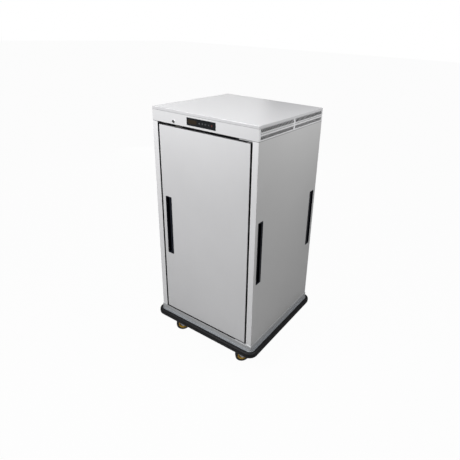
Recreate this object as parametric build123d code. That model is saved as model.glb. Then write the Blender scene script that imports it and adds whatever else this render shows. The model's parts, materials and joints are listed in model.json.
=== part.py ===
from build123d import *
import math
import os

# Heated banquet cart: an insulated one-door cabinet on a bumpered base with four swivel casters.
# Millimetres, +Z up, door towards -Y, origin on the floor under the middle of the cart.

# Cabinet outline and the heights of its storeys
body_width = 805.0
body_depth = 765.0
caster_height = 128.0
base_height = 40.0
plinth_height = 40.0
shell_height = 1392.0
head_height = 71.5
lid_height = 16.5

# Sheet thicknesses
skin_sheet = 1.2
frame_sheet = 1.5
liner_sheet = 1.0
base_sheet = 3.0

# Base deck and bumper
deck_ledge = 15.0
deck_corner = 38.0
base_lip = 22.0
bumper_depth = 23.0
bumper_height = 38.0
bumper_round = 10.0
bumper_groove = 1.6
bumper_groove_height = 2.4
bumper_groove_pitch = 9.0

# Plinth
plinth_proud = 3.0
plinth_flange = 25.0
plinth_chamfer = 1.2
sill_drop = 8.0

# Door and the opening that it closes
jamb_width = 40.0
door_side_gap = 12.0
door_top_gap = 14.0
door_bottom_gap = 12.0
door_thickness = 50.0
door_fold_round = 0.9
door_back_sheet = 1.5
door_back_emboss = 4.5
emboss_margin = 36.0
gasket_depth = 10.0
gasket_width = 13.0
gasket_margin = 3.0
gasket_gap = 0.3
land_margin = 3.0
core_gap = 0.3

# Door pivots
pivot_inset = 12.0
pivot_setback = 11.0
pivot_radius = 5.0
pivot_gap = 0.05
pivot_reach = 24.0
bush_radius = 8.0
bush_length = 26.0
bush_flange_radius = 10.0
upper_flange = 3.0
hinge_plate = 6.0
hinge_plate_inner = 68.0
hinge_plate_depth = 44.0
hinge_plate_setback = 1.0
thrust_gap = 0.1

# Cabinet walls
rear_wall = 50.0
wall_gap = 0.5

# Recessed grips, alike in the door and both sides
grip_width = 52.0
grip_height = 428.0
grip_flange = 3.5
grip_flange_sheet = 1.5
grip_depth = 30.0
grip_wall = 2.0
grip_lip = 13.0
grip_lip_sheet = 3.5
grip_corner = 3.0
grip_height_centre = 892.0
door_grip_inset = 54.5
side_grip_inset = 53.5
cutout_gap = 0.4

# Vent slots of the head
slot_pitch = 16.2
slot_width = 7.0
upper_slot_height = 18.5
lower_slot_height = 17.0
dot_height = 3.6
dot_width = 5.5
slots_per_bank = 22
bank_centre = 188.5
upper_slot_z = 59.5
middle_slot_z = 40.5
lower_slot_z = 19.5
slot_slant = 38.0

# Lid
lid_rim = 1.0
lid_return = 18.0

# Display module
display_width = 220.0
display_height = 46.0
display_centre = -5.0
display_rise = 37.0
display_bezel = 4.0
display_proud = 1.5
display_face = 3.0
display_depth = 38.0
display_wall = 2.0
key_size = 11.0
key_hole_gap = 0.4
key_proud = 0.8
key_flange = 14.0
key_flange_depth = 1.4
key_travel = 1.0
key_pitch = 23.5
first_key = -11.0

# Door lock in the fascia
lock_centre = -224.0
lock_rise = 18.0
lock_collar_radius = 10.0
lock_collar_proud = 2.0
lock_body_radius = 8.5
lock_body_depth = 22.0
lock_barrel_radius = 6.0
lock_barrel_gap = 0.08
lock_face_set = 0.6
keyway_width = 1.6
keyway_height = 7.0
keyway_depth = 6.0
tongue_length = 42.0
tongue_width = 12.0
tongue_sheet = 3.0
tongue_gap = 1.5

# Fan, motor and heater
motor_radius = 42.0
motor_height = 50.0
motor_foot = 104.0
motor_foot_sheet = 3.0
shaft_radius = 5.0
shaft_gap = 0.08
shaft_hole = 9.0
shaft_grip = 22.0
fan_radius = 85.0
fan_eye = 58.0
fan_blade_height = 26.0
fan_blade_sheet = 1.6
fan_blades = 16
fan_disc = 1.8
fan_ceiling_gap = 6.0
heater_ring = 122.0
heater_rod = 4.2
heater_drop = 16.0
heater_spread = 16.0

# Plenum baffle
baffle_half = 230.0
baffle_drop = 50.0
baffle_sheet = 1.5
baffle_intake = 66.0
baffle_slot_width = 8.0
baffle_slot_length = 60.0
baffle_slot_pitch = 30.0
baffle_slots = 13

# Pan racks and shelves
rack_front = -290.0
rack_back = 300.0
rack_foot = 300.0
rack_height = 1200.0
upright_width = 20.0
upright_sheet = 4.0
upright_spread = 270.0
ledge_sheet = 1.5
ledge_width = 30.0
ledge_drop = 20.0
first_ledge = 330.0
ledge_pitch = 110.0
ledge_count = 11
shelf_rod = 3.0
shelf_wire = 1.6
shelf_wires = 21
shelf_inset = 14.0
shelf_gap = 0.05
shelf_levels = {"shelf_lower": 1, "shelf_middle": 4, "shelf_upper": 7}

# Water pan
pan_width = 320.0
pan_depth = 220.0
pan_height = 45.0
pan_sheet = 1.0
pan_rim = 10.0
pan_back = 60.0

# Head electrics
control_width = 190.0
control_depth = 120.0
control_height = 40.0
control_centre = (-150.0, -220.0)
inlet_centre = -250.0
inlet_rise = 38.0
inlet_width = 30.0
inlet_height = 22.0
inlet_flange = 9.0
inlet_flange_sheet = 2.5
inlet_body = 36.0
inlet_recess = 17.0
inlet_wall = 2.5
probe_radius = 3.0
probe_length = 110.0
probe_height = 1380.0
probe_standoff = 6.0

# Casters
caster_x = 279.0
caster_y = 349.0
caster_heading = 135.0
caster_trail = 28.0
wheel_radius = 50.0
wheel_width = 32.0
tyre_band = 10.0
tyre_round = 5.0
rim_ring = 11.0
rim_width = 29.0
rim_web = 9.0
hub_radius = 15.0
hub_width = 36.0
axle_radius = 6.0
axle_gap = 0.08
axle_head = 9.0
axle_head_sheet = 3.5
leg_sheet = 3.5
leg_gap = 1.0
leg_eye = 13.0
crown_sheet = 6.0
crown_radius = 27.0
crown_gap = 0.3
race_radius = 25.0
race_height = 12.0
mount_plate_x = 100.0
mount_plate_y = 86.0
mount_plate_sheet = 4.0
bolt_spread_x = 78.0
bolt_spread_y = 64.0
bolt_radius = 4.0
bolt_hole_gap = 0.5
bolt_head_radius = 6.5
bolt_head_height = 5.0
kingpin_radius = 6.0
kingpin_gap = 0.08
kingpin_nut = 9.0
kingpin_nut_height = 5.0
pad_sheet = 6.0
pad_size = 112.0

# Brake pedals of the two front casters
pedal_y = -50.0
pedal_z = 105.0
pedal_pin = 3.0
pedal_pin_gap = 0.06
pedal_boss = 6.0
pedal_width = 34.0
pedal_sheet = 4.0
pedal_length = 46.0
pedal_slope = 15.0
shoe_length = 8.0
shoe_set = 14.0
shoe_gap = 3.9

# Rear panel screws
screw_head_radius = 4.5
screw_head_height = 2.0
screw_radius = 2.0
screw_length = 8.0
screw_inset = 14.0
screw_rows = 6

# Levels and faces worked out from the sizes above
half_x = body_width / 2
half_y = body_depth / 2
front = -half_y
z_base = caster_height
z_deck = z_base + base_height
z_plinth = z_deck + plinth_height
z_head = z_plinth + shell_height
z_lid = z_head + head_height
z_top = z_lid + lid_height
rebate_half = half_x - jamb_width
z_sill = z_plinth - sill_drop
door_half = rebate_half - door_side_gap
door_grip_centre = door_grip_inset - door_half
side_grip_centre = half_y - side_grip_inset
z_door = z_sill + door_bottom_gap
z_door_top = z_head - door_top_gap
door_back = front + door_thickness
land_y = door_back + gasket_depth
pivot_x = door_half - pivot_inset
pivot_y = front + pivot_setback
gasket_half = pivot_x - 0.5
z_gasket = z_door + gasket_margin
z_gasket_top = z_door_top - gasket_margin
cavity_half = gasket_half - gasket_width - land_margin
z_cavity = z_gasket + gasket_width + land_margin
z_cavity_top = z_gasket_top - gasket_width - land_margin
cavity_back = half_y - rear_wall
skin_half = half_x - skin_sheet
cup_width = grip_width - 2 * grip_flange
cup_height = grip_height - 2 * grip_flange
tray_top = z_head + frame_sheet
axle_z = wheel_radius
leg_inner = hub_width / 2 + leg_gap
crown_top = z_base - mount_plate_sheet - race_height - crown_gap
crown_bottom = crown_top - crown_sheet
z_display = z_head + display_rise
z_lock = z_head + lock_rise
fan_top = z_cavity_top - fan_ceiling_gap
baffle_z = z_cavity_top - baffle_drop
key_names = ["key_power", "key_timer", "key_down", "key_up", "key_heat"]

os.makedirs("parts", exist_ok=True)


def block(x, y, z):
    """A box between two values on each axis."""
    centre = Pos((x[0] + x[1]) / 2, (y[0] + y[1]) / 2, (z[0] + z[1]) / 2)
    return centre * Box(x[1] - x[0], y[1] - y[0], z[1] - z[0])


def rod(radius, start, end):
    """A round bar from one point to another along X, Y or Z."""
    path = Vector(*end) - Vector(*start)
    plane = Plane(origin=start, z_dir=path)
    return extrude(plane * Circle(radius), path.length)


def rounded_slab(width, depth, corner, z):
    """An upright slab with rounded corners between two heights."""
    return extrude(Pos(0, 0, z[0]) * RectangleRounded(width, depth, corner), z[1] - z[0])


def rectangle_ring(outer_half, inner_half, y, outer_z, inner_z):
    """An upright rectangular ring about X = 0."""
    outer = block((-outer_half, outer_half), y, outer_z)
    return outer - block((-inner_half, inner_half), (y[0] - 1, y[1] + 1), inner_z)


def save(name, solids):
    """Writes one node from one solid or a list of separate solids."""
    shape = Compound(children=solids) if isinstance(solids, list) else solids
    export_step(shape, f"parts/{name}.step")


def caster_corners():
    """The four kingpins: name, x, y, and whether the caster has a brake."""
    for side, x in (("left", -caster_x), ("right", caster_x)):
        for end, y in (("front", -caster_y), ("rear", caster_y)):
            yield f"{end}_{side}", x, y, end == "front"


def bolt_points(x, y):
    """The bolts of one caster's mounting plate."""
    for dx in (-bolt_spread_x / 2, bolt_spread_x / 2):
        for dy in (-bolt_spread_y / 2, bolt_spread_y / 2):
            yield x + dx, y + dy


def base_frame():
    """Folded deck tray with a bottom lip and four caster pads on ribs."""
    width = body_width + 2 * deck_ledge
    depth = body_depth + 2 * deck_ledge
    tray = rounded_slab(width, depth, deck_corner, (z_base, z_deck))
    inner = (width - 2 * base_sheet, depth - 2 * base_sheet, deck_corner - base_sheet)
    tray -= rounded_slab(*inner, (z_base + base_sheet, z_deck - base_sheet))
    mouth = (width - 2 * base_lip, depth - 2 * base_lip, deck_corner - base_sheet)
    tray -= rounded_slab(*mouth, (z_base - 1, z_base + base_sheet + 1))
    for _, x, y, _ in caster_corners():
        across = (x - pad_size / 2, x + pad_size / 2)
        outward = math.copysign(depth / 2 - base_sheet, y)
        along = sorted((y - math.copysign(pad_size / 2, y), outward))
        tray += block(across, along, (z_base, z_base + pad_sheet))
        for edge in across:
            rib = (edge - base_sheet / 2, edge + base_sheet / 2)
            tray += block(rib, along, (z_base, z_deck - base_sheet / 2))
        for bolt_x, bolt_y in bolt_points(x, y):
            foot = (bolt_x, bolt_y, z_base - 1)
            tray -= rod(bolt_radius + bolt_hole_gap, foot, (bolt_x, bolt_y, z_base + pad_sheet + 1))
    return tray


def bumper():
    """Black perimeter bumper, rounded outside, with three shallow grooves."""
    inner = (body_width + 2 * deck_ledge, body_depth + 2 * deck_ledge, deck_corner)
    outer = [size + 2 * bumper_depth for size in inner[:2]] + [deck_corner + bumper_depth]
    low = z_deck - bumper_height
    slab = rounded_slab(*outer, (low, z_deck))
    slab = fillet(slab.edges().filter_by(Plane.XY), bumper_round)
    for step in (-1, 0, 1):
        z = (low + z_deck) / 2 + step * bumper_groove_pitch
        band = (z - bumper_groove_height / 2, z + bumper_groove_height / 2)
        cut = [size - 2 * bumper_groove for size in outer[:2]] + [outer[2] - bumper_groove]
        over = [size + 2 for size in outer[:2]] + [outer[2] + 1]
        if step == 0:
            slab -= rounded_slab(*over, band) - rounded_slab(*cut, band)
    return slab - rounded_slab(*inner, (low - 1, z_deck + 1))


def plinth():
    """Low frame between the deck and the cabinet, with the door's sill let into its front."""
    wide, deep = half_x + plinth_proud, half_y + plinth_proud
    frame = block((-wide, wide), (-deep, deep), (z_deck, z_plinth))
    frame = chamfer(frame.edges().group_by(Axis.Z)[-1], plinth_chamfer)
    hollow = ((-wide + frame_sheet, wide - frame_sheet), (-deep + frame_sheet, deep - frame_sheet))
    frame -= block(*hollow, (z_deck + frame_sheet, z_plinth - frame_sheet))
    mouth_x, mouth_y = wide - plinth_flange, deep - plinth_flange
    mouth = ((-mouth_x, mouth_x), (-mouth_y, mouth_y))
    frame -= block(*mouth, (z_deck - 1, z_deck + frame_sheet + 1))
    notch_half = rebate_half + frame_sheet
    notch_y = (-deep - 1, land_y + frame_sheet)
    frame -= block((-rebate_half, rebate_half), notch_y, (z_sill, z_plinth + 1))
    inside = (-deep + frame_sheet, land_y + frame_sheet)
    return frame - block((-notch_half, notch_half), inside, (z_sill - frame_sheet, z_plinth + 1))


def grip_cutouts():
    """Blocks that open one side wall for its two grip cups, on the +X side."""
    half_w, half_h = cup_width / 2 + cutout_gap, cup_height / 2 + cutout_gap
    z = (grip_height_centre - half_h, grip_height_centre + half_h)
    x = (half_x - grip_depth - wall_gap, half_x + 1)
    for y in (-side_grip_centre, side_grip_centre):
        yield block(x, (y - half_w, y + half_w), z)


def side_panel(sign):
    """Outer skin of one side, with two windows for the grip cups."""
    x = sorted((sign * skin_half, sign * half_x))
    panel = block(x, (-half_y, half_y), (z_plinth, z_head))
    for cut in grip_cutouts():
        panel -= cut if sign > 0 else cut.mirror(Plane.YZ)
    return panel


def rear_panel():
    """Outer skin of the back, full height, with the inlet's window and its screw holes."""
    y = (half_y - skin_sheet, half_y)
    panel = block((-skin_half, skin_half), y, (z_plinth, z_lid - frame_sheet))
    half_w, half_h = inlet_width / 2 + cutout_gap, inlet_height / 2 + cutout_gap
    z = z_head + inlet_rise
    window = (inlet_centre - half_w, inlet_centre + half_w)
    panel -= block(window, (y[0] - 1, y[1] + 1), (z - half_h, z + half_h))
    for x, hole_z in screw_points():
        panel -= rod(screw_radius, (x, y[0] - 1, hole_z), (x, y[1] + 1, hole_z))
    return panel


def screw_points():
    """Screws down both edges of the rear panel."""
    low, high = z_plinth + screw_inset, z_lid - frame_sheet - screw_inset
    for row in range(screw_rows):
        z = low + (high - low) * row / (screw_rows - 1)
        for sign in (-1, 1):
            yield sign * (skin_half - screw_inset), z


def panel_screws():
    """Low round heads outside and short shanks through the rear panel into the wall."""
    screws = []
    for x, z in screw_points():
        head = rod(screw_head_radius, (x, half_y, z), (x, half_y + screw_head_height, z))
        shank = rod(screw_radius - 0.05, (x, half_y - screw_length, z), (x, half_y + 0.5, z))
        screws.append(head + shank)
    return screws


def door_frame():
    """Folded surround of the door: two jambs, the rebate behind them and the gasket's land."""
    jambs = rectangle_ring(
        skin_half, rebate_half, (front, front + frame_sheet), (z_plinth, z_head), (z_plinth - 1, z_head + 1)
    )
    outer = rebate_half + frame_sheet
    rebate_z = (z_sill - frame_sheet, z_head + frame_sheet)
    rebate_y = (front + frame_sheet, land_y + frame_sheet)
    rebate = rectangle_ring(outer, rebate_half, rebate_y, rebate_z, (z_sill, z_head))
    corner = block(
        (rebate_half, outer), (front, front + frame_sheet), (z_plinth, z_head)
    )
    jambs += corner + corner.mirror(Plane.YZ)
    sill_y = (front - plinth_proud + frame_sheet, front + frame_sheet)
    sill = block((-outer, outer), sill_y, (z_sill - frame_sheet, z_sill))
    land_span = (land_y, land_y + frame_sheet)
    land = rectangle_ring(outer, cavity_half, land_span, rebate_z, (z_cavity, z_cavity_top))
    frame = jambs + rebate + sill + land
    slot_x = (lock_centre - tongue_width, lock_centre + tongue_length + tongue_gap)
    frame -= block(slot_x, tongue_span(tongue_gap), (z_head - 1, z_head + frame_sheet + 1))
    return frame


def tongue_span(gap):
    """The lock tongue's place along Y, with a gap on both faces."""
    back = front + frame_sheet + lock_body_depth + gap
    return (back - tongue_sheet - 2 * gap, back)


def inner_liner():
    """Five sheets that line the cavity, with the fan shaft's hole in the ceiling."""
    half = cavity_half + liner_sheet
    low, high = z_cavity - liner_sheet, z_cavity_top + liner_sheet
    y = (land_y + frame_sheet, cavity_back)
    left = block((-half, -cavity_half), y, (low, high))
    right = block((cavity_half, half), y, (low, high))
    back = block((-half, half), (cavity_back, cavity_back + liner_sheet), (low, high))
    floor = block((-cavity_half, cavity_half), y, (low, z_cavity))
    ceiling = block((-cavity_half, cavity_half), y, (z_cavity_top, high))
    ceiling -= rod(shaft_hole, (0, 0, z_cavity_top - 1), (0, 0, high + 1))
    return [left, right, back, floor, ceiling]


def wall_insulation():
    """Insulation between the lining and the outer skins, cut back for cups, shaft and screws."""
    x, y = (-skin_half, skin_half), (land_y + frame_sheet, half_y - skin_sheet)
    wool = block(x, y, (z_plinth, z_head))
    half = cavity_half + liner_sheet
    inner_y = (land_y, cavity_back + liner_sheet)
    wool -= block((-half, half), inner_y, (z_cavity - liner_sheet, z_cavity_top + liner_sheet))
    wool -= rod(shaft_hole, (0, 0, z_cavity_top), (0, 0, z_head + 1))
    for cut in grip_cutouts():
        wool -= cut + cut.mirror(Plane.YZ)
    for screw_x, z in screw_points():
        wool -= rod(screw_radius, (screw_x, half_y - screw_length - 1, z), (screw_x, half_y, z))
    return wool


def head_tray():
    """Floor of the electrical space above the cavity."""
    y = (land_y + frame_sheet, half_y - skin_sheet)
    tray = block((-skin_half + 0.3, skin_half - 0.3), y, (z_head, tray_top))
    return tray - rod(shaft_hole, (0, 0, z_head - 1), (0, 0, tray_top + 1))


def fascia_panel():
    """Front of the head, with windows for the display and the lock."""
    y = (front, front + frame_sheet)
    panel = block((-half_x, half_x), y, (z_head, z_lid - frame_sheet))
    cut_y = (front - 1, front + frame_sheet + 1)
    half_w = display_width / 2 - display_bezel + cutout_gap
    half_h = display_height / 2 - display_bezel + cutout_gap
    window = (display_centre - half_w, display_centre + half_w)
    panel -= block(window, cut_y, (z_display - half_h, z_display + half_h))
    hole = rod(lock_body_radius + cutout_gap, (lock_centre, cut_y[0], z_lock), (lock_centre, cut_y[1], z_lock))
    return panel - hole


def vent_slots():
    """Two banks of leaning slots in two rows, with a row of small openings between them."""
    rows = (
        (upper_slot_z, upper_slot_height, slot_width, slot_slant),
        (middle_slot_z, dot_height, dot_width, 0.0),
        (lower_slot_z, lower_slot_height, slot_width, -slot_slant),
    )
    cuts = []
    for bank in (-bank_centre, bank_centre):
        for index in range(slots_per_bank):
            y = bank + (index - (slots_per_bank - 1) / 2) * slot_pitch
            for rise, height, width, lean in rows:
                slot = Rot(lean, 0, 0) * Box(6 * frame_sheet, width, height)
                cuts.append(Pos(half_x, y, z_head + rise) * slot)
    return Compound(children=cuts)


def vent_panel(sign):
    """One side of the head, with its slots."""
    x = sorted((sign * skin_half, sign * half_x))
    panel = block(x, (front + frame_sheet, half_y), (z_head, z_lid - frame_sheet))
    panel -= [Pos(0 if sign > 0 else -body_width, 0, 0) * vent_slots()]
    return panel


def top_lid():
    """Folded lid with a set-back return flange that leaves a shadow line under its rim."""
    lid = block((-half_x, half_x), (-half_y, half_y), (z_lid, z_top))
    lid = fillet(lid.edges().filter_by(Axis.Z) + lid.edges().group_by(Axis.Z)[-1], frame_sheet - 0.1)
    wide, deep = half_x - frame_sheet, half_y - frame_sheet
    lid -= block((-wide, wide), (-deep, deep), (z_lid - 1, z_top - frame_sheet))
    low = z_lid - frame_sheet
    flange_x, flange_y = half_x - lid_rim, half_y - lid_rim
    flange = block((-flange_x, flange_x), (-flange_y, flange_y), (low, z_lid))
    flange += block((-wide, wide), (-deep, deep), (z_lid, z_lid + frame_sheet))
    hole_x, hole_y = half_x - lid_return, half_y - lid_return
    return lid + (flange - block((-hole_x, hole_x), (-hole_y, hole_y), (low - 1, z_lid + frame_sheet + 1)))


def grip_cup():
    """One recessed grip at the origin, mouth towards -Y, its finger lip on the +X side."""
    rim = extrude(Plane.XZ * RectangleRounded(grip_width, grip_height, grip_corner), grip_flange_sheet)
    shell = block((-cup_width / 2, cup_width / 2), (0, grip_depth), (-cup_height / 2, cup_height / 2))
    cup = rim + fillet(shell.edges().group_by(Axis.Y)[-1], grip_wall)
    inner_w, inner_h = cup_width / 2 - grip_wall, cup_height / 2 - grip_wall
    hollow = block((-inner_w, inner_w), (-grip_flange_sheet - 1, grip_depth - grip_wall), (-inner_h, inner_h))
    lip_y = (-grip_flange_sheet - 2, grip_lip_sheet - grip_flange_sheet)
    hollow -= block((inner_w - grip_lip, inner_w + 1), lip_y, (-inner_h - 1, inner_h + 1))
    return cup - hollow


def side_grip_cups():
    """The four cups of the sides, their finger lips towards the cart's middle."""
    cups = []
    for sign in (-1, 1):
        for y in (-side_grip_centre, side_grip_centre):
            cup = grip_cup() if sign * y < 0 else grip_cup().mirror(Plane.YZ)
            cups.append(Pos(sign * half_x, y, grip_height_centre) * Rot(0, 0, sign * 90) * cup)
    return cups


def door_cup_block(gap):
    """The space that the door's cup takes up, with a gap all round."""
    half_w, half_h = cup_width / 2 + gap, cup_height / 2 + gap
    x = (door_grip_centre - half_w, door_grip_centre + half_w)
    z = (grip_height_centre - half_h, grip_height_centre + half_h)
    return block(x, (front - 1, front + grip_depth + gap), z)


def tongue_slot():
    """The lock tongue's pocket in the top of the door."""
    reach = math.sqrt(tongue_length**2 - (z_lock - z_door_top) ** 2)
    x = (lock_centre - tongue_width, lock_centre + reach + tongue_width)
    return block(x, tongue_span(tongue_gap), (z_lock - tongue_length - 2 * tongue_gap, z_door_top + 1))


def pivot_block(radius, extra):
    """Both pivots' bores through the door's top and bottom folds."""
    low = rod(radius, (pivot_x, pivot_y, z_door - 1), (pivot_x, pivot_y, z_door + bush_length + extra))
    high_z = z_door_top - bush_length - extra
    return low + rod(radius, (pivot_x, pivot_y, high_z), (pivot_x, pivot_y, z_door_top + 1))


def door_skin():
    """Front pan of the door: face and four folded edges."""
    back = door_back - door_back_sheet
    pan = block((-door_half, door_half), (front, back), (z_door, z_door_top))
    pan = fillet(pan.edges().group_by(Axis.Y)[0], door_fold_round)
    inner = door_half - skin_sheet
    inner_z = (z_door + skin_sheet, z_door_top - skin_sheet)
    pan -= block((-inner, inner), (front + skin_sheet, back + 1), inner_z)
    return pan - door_cup_block(cutout_gap) - tongue_slot() - pivot_block(bush_radius, 0)


def door_liner():
    """Back sheet of the door, raised inside the gasket."""
    span = (door_back - door_back_sheet, door_back)
    sheet = block((-door_half, door_half), span, (z_door, z_door_top))
    half = door_half - emboss_margin
    z = (z_door + emboss_margin, z_door_top - emboss_margin)
    raised = block((-half, half), (span[0], door_back + door_back_emboss), z)
    raised = chamfer(raised.edges().group_by(Axis.Y)[-1], door_back_emboss - 0.5)
    inset = half - 2 * door_back_emboss
    dish_z = (z[0] + 2 * door_back_emboss, z[1] - 2 * door_back_emboss)
    dish = block((-inset, inset), (span[0] - 1, span[0] + door_back_emboss), dish_z)
    return sheet + raised - dish


def door_core():
    """Insulating core of the door."""
    half = door_half - skin_sheet - core_gap
    z = (z_door + skin_sheet + core_gap, z_door_top - skin_sheet - core_gap)
    y = (front + skin_sheet + core_gap, door_back - door_back_sheet - core_gap)
    core = block((-half, half), y, z) - door_cup_block(core_gap) - tongue_slot()
    return core - pivot_block(bush_radius + core_gap, core_gap)


def door_gasket():
    """Magnetic seal round the back of the door, with its bellows groove."""
    y = (door_back, land_y - gasket_gap)
    inner = gasket_half - gasket_width
    inner_z = (z_gasket + gasket_width, z_gasket_top - gasket_width)
    seal = rectangle_ring(gasket_half, inner, y, (z_gasket, z_gasket_top), inner_z)
    groove = gasket_width / 4
    middle = (sum(y) / 2 - groove / 2, sum(y) / 2 + groove / 2)
    neck = gasket_half - groove
    cut = rectangle_ring(gasket_half + 1, neck, middle, (z_gasket - 1, z_gasket_top + 1), (z_gasket + groove, z_gasket_top - groove))
    return seal - cut


def hinge_bushes():
    """Flanged bushes that carry the door on its two pins."""
    bore = pivot_radius + pivot_gap
    plate_top = z_sill + hinge_plate + thrust_gap
    low = rod(bush_radius, (pivot_x, pivot_y, z_door - 1), (pivot_x, pivot_y, z_door + bush_length))
    low += rod(bush_flange_radius, (pivot_x, pivot_y, plate_top), (pivot_x, pivot_y, z_door))
    low -= rod(bore, (pivot_x, pivot_y, plate_top - 1), (pivot_x, pivot_y, z_door + bush_length + 1))
    foot = z_door_top - bush_length
    high = rod(bush_radius, (pivot_x, pivot_y, foot), (pivot_x, pivot_y, z_door_top + 1))
    high += rod(bush_flange_radius, (pivot_x, pivot_y, z_door_top), (pivot_x, pivot_y, z_door_top + upper_flange))
    high -= rod(bore, (pivot_x, pivot_y, foot - 1), (pivot_x, pivot_y, z_door_top + upper_flange + 1))
    return [low, high]


def hinge_brackets():
    """Plates under and over the door, each with the pin that the door turns on."""
    x = (pivot_x - hinge_plate_inner, rebate_half)
    y = (front + hinge_plate_setback, front + hinge_plate_depth)
    low_z, high_z = (z_sill, z_sill + hinge_plate), (z_head - hinge_plate, z_head)
    low = block(x, y, low_z)
    low += rod(pivot_radius, (pivot_x, pivot_y, low_z[1]), (pivot_x, pivot_y, z_door + pivot_reach))
    high = block(x, y, high_z)
    high += rod(pivot_radius, (pivot_x, pivot_y, z_door_top - pivot_reach), (pivot_x, pivot_y, high_z[0]))
    return [low, high]


def display_module():
    """Black control module: bezel, face with five key holes, and its housing behind the fascia."""
    x = (display_centre - display_width / 2, display_centre + display_width / 2)
    z = (z_display - display_height / 2, z_display + display_height / 2)
    bezel = block(x, (front - display_proud, front), z)
    bezel = fillet(bezel.edges().filter_by(Axis.Y), display_bezel / 2)
    body_x = (x[0] + display_bezel, x[1] - display_bezel)
    body_z = (z[0] + display_bezel, z[1] - display_bezel)
    back = front + display_depth
    shell = bezel + block(body_x, (front, back), body_z)
    hollow_x = (body_x[0] + display_wall, body_x[1] - display_wall)
    hollow_z = (body_z[0] + display_wall, body_z[1] - display_wall)
    face = front - display_proud + display_face
    shell -= block(hollow_x, (face, back - display_wall), hollow_z)
    hole = key_size / 2 + key_hole_gap
    for index in range(len(key_names)):
        x_key = display_centre + first_key + index * key_pitch
        span = (x_key - hole, x_key + hole)
        shell -= block(span, (front - display_proud - 1, face + 1), (z_display - hole, z_display + hole))
    return shell


def push_key(index):
    """One key: its cap in the face and the flange that keeps it there."""
    x = display_centre + first_key + index * key_pitch
    cap_front = front - display_proud - key_proud
    flange_front = front - display_proud + display_face + key_hole_gap
    half = key_size / 2
    cap = block((x - half, x + half), (cap_front, flange_front), (z_display - half, z_display + half))
    cap = fillet(cap.edges().filter_by(Axis.Y), key_size / 6)
    keep = key_flange / 2
    span = (flange_front, flange_front + key_flange_depth)
    return cap + block((x - keep, x + keep), span, (z_display - keep, z_display + keep))


def lock_housing():
    """Collar and body of the cylinder lock, with the bore that its barrel turns in."""
    centre = lambda y: (lock_centre, y, z_lock)
    back = front + frame_sheet + lock_body_depth - tongue_sheet - tongue_gap
    body = rod(lock_collar_radius, centre(front - lock_collar_proud), centre(front))
    body = fillet(body.edges().group_by(Axis.Y)[0], lock_collar_proud / 2)
    body += rod(lock_body_radius, centre(front), centre(back))
    return body - rod(lock_barrel_radius + lock_barrel_gap, centre(front - lock_collar_proud - 1), centre(back + 1))


def lock_barrel():
    """Turning barrel with its keyway and the tongue behind, pointing along +X when unlocked."""
    centre = lambda y: (lock_centre, y, z_lock)
    face = front - lock_collar_proud + lock_face_set
    span = tongue_span(0)
    barrel = rod(lock_barrel_radius, centre(face), centre(span[1]))
    half = keyway_width / 2
    key_z = (z_lock - keyway_height / 2, z_lock + keyway_height / 2)
    barrel -= block((lock_centre - half, lock_centre + half), (face - 1, face + keyway_depth), key_z)
    half_tongue = tongue_width / 2
    reach = (lock_centre - half_tongue, lock_centre + tongue_length - half_tongue / 2)
    tongue = block(reach, span, (z_lock - half_tongue, z_lock + half_tongue))
    return barrel + fillet(tongue.edges().filter_by(Axis.Y), half_tongue / 2)


def fan_motor():
    """Motor can on a square foot, bored for the fan's shaft."""
    half = motor_foot / 2
    top = tray_top + motor_foot_sheet
    motor = block((-half, half), (-half, half), (tray_top, top))
    motor += fillet(rod(motor_radius, (0, 0, top), (0, 0, top + motor_height)).edges().group_by(Axis.Z)[-1], 5)
    bore_top = top + shaft_grip + 1
    return motor - rod(shaft_radius + shaft_gap, (0, 0, tray_top - 1), (0, 0, bore_top))


def fan_wheel():
    """Centrifugal wheel hung from its shaft: back disc, blades, front ring and hub."""
    blade_top = fan_top - fan_disc
    blade_foot = blade_top - fan_blade_height
    ring_foot = blade_foot - fan_disc
    wheel = rod(fan_radius, (0, 0, blade_top), (0, 0, fan_top))
    ring = rod(fan_radius, (0, 0, ring_foot), (0, 0, blade_foot))
    wheel += ring - rod(fan_eye, (0, 0, ring_foot - 1), (0, 0, blade_foot + 1))
    radial = (fan_eye + 2, fan_radius - 1)
    blade = block(radial, (-fan_blade_sheet / 2, fan_blade_sheet / 2), (blade_foot - fan_disc / 2, blade_top + fan_disc / 2))
    for index in range(fan_blades):
        wheel += Rot(0, 0, index * 360 / fan_blades) * blade
    wheel += rod(2.4 * shaft_radius, (0, 0, blade_top - fan_blade_height / 2), (0, 0, blade_top))
    shaft_top = tray_top + motor_foot_sheet + shaft_grip
    return wheel + rod(shaft_radius, (0, 0, blade_top - fan_blade_height / 2), (0, 0, shaft_top))


def heater_element():
    """Tubular heater ring round the fan, on two posts that reach the ceiling."""
    z = z_cavity_top - heater_drop
    start = math.degrees(math.asin(heater_spread / heater_ring))
    wire = CenterArc((0, 0, z), heater_ring, start, 360 - 2 * start)
    plane = Plane(origin=wire @ 0, z_dir=wire % 0)
    ring = sweep(plane * Circle(heater_rod), path=wire)
    for end in (wire @ 0, wire @ 1):
        ring += rod(1.4 * heater_rod, (end.X, end.Y, z - heater_rod), (end.X, end.Y, z_cavity_top))
    return ring


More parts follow.
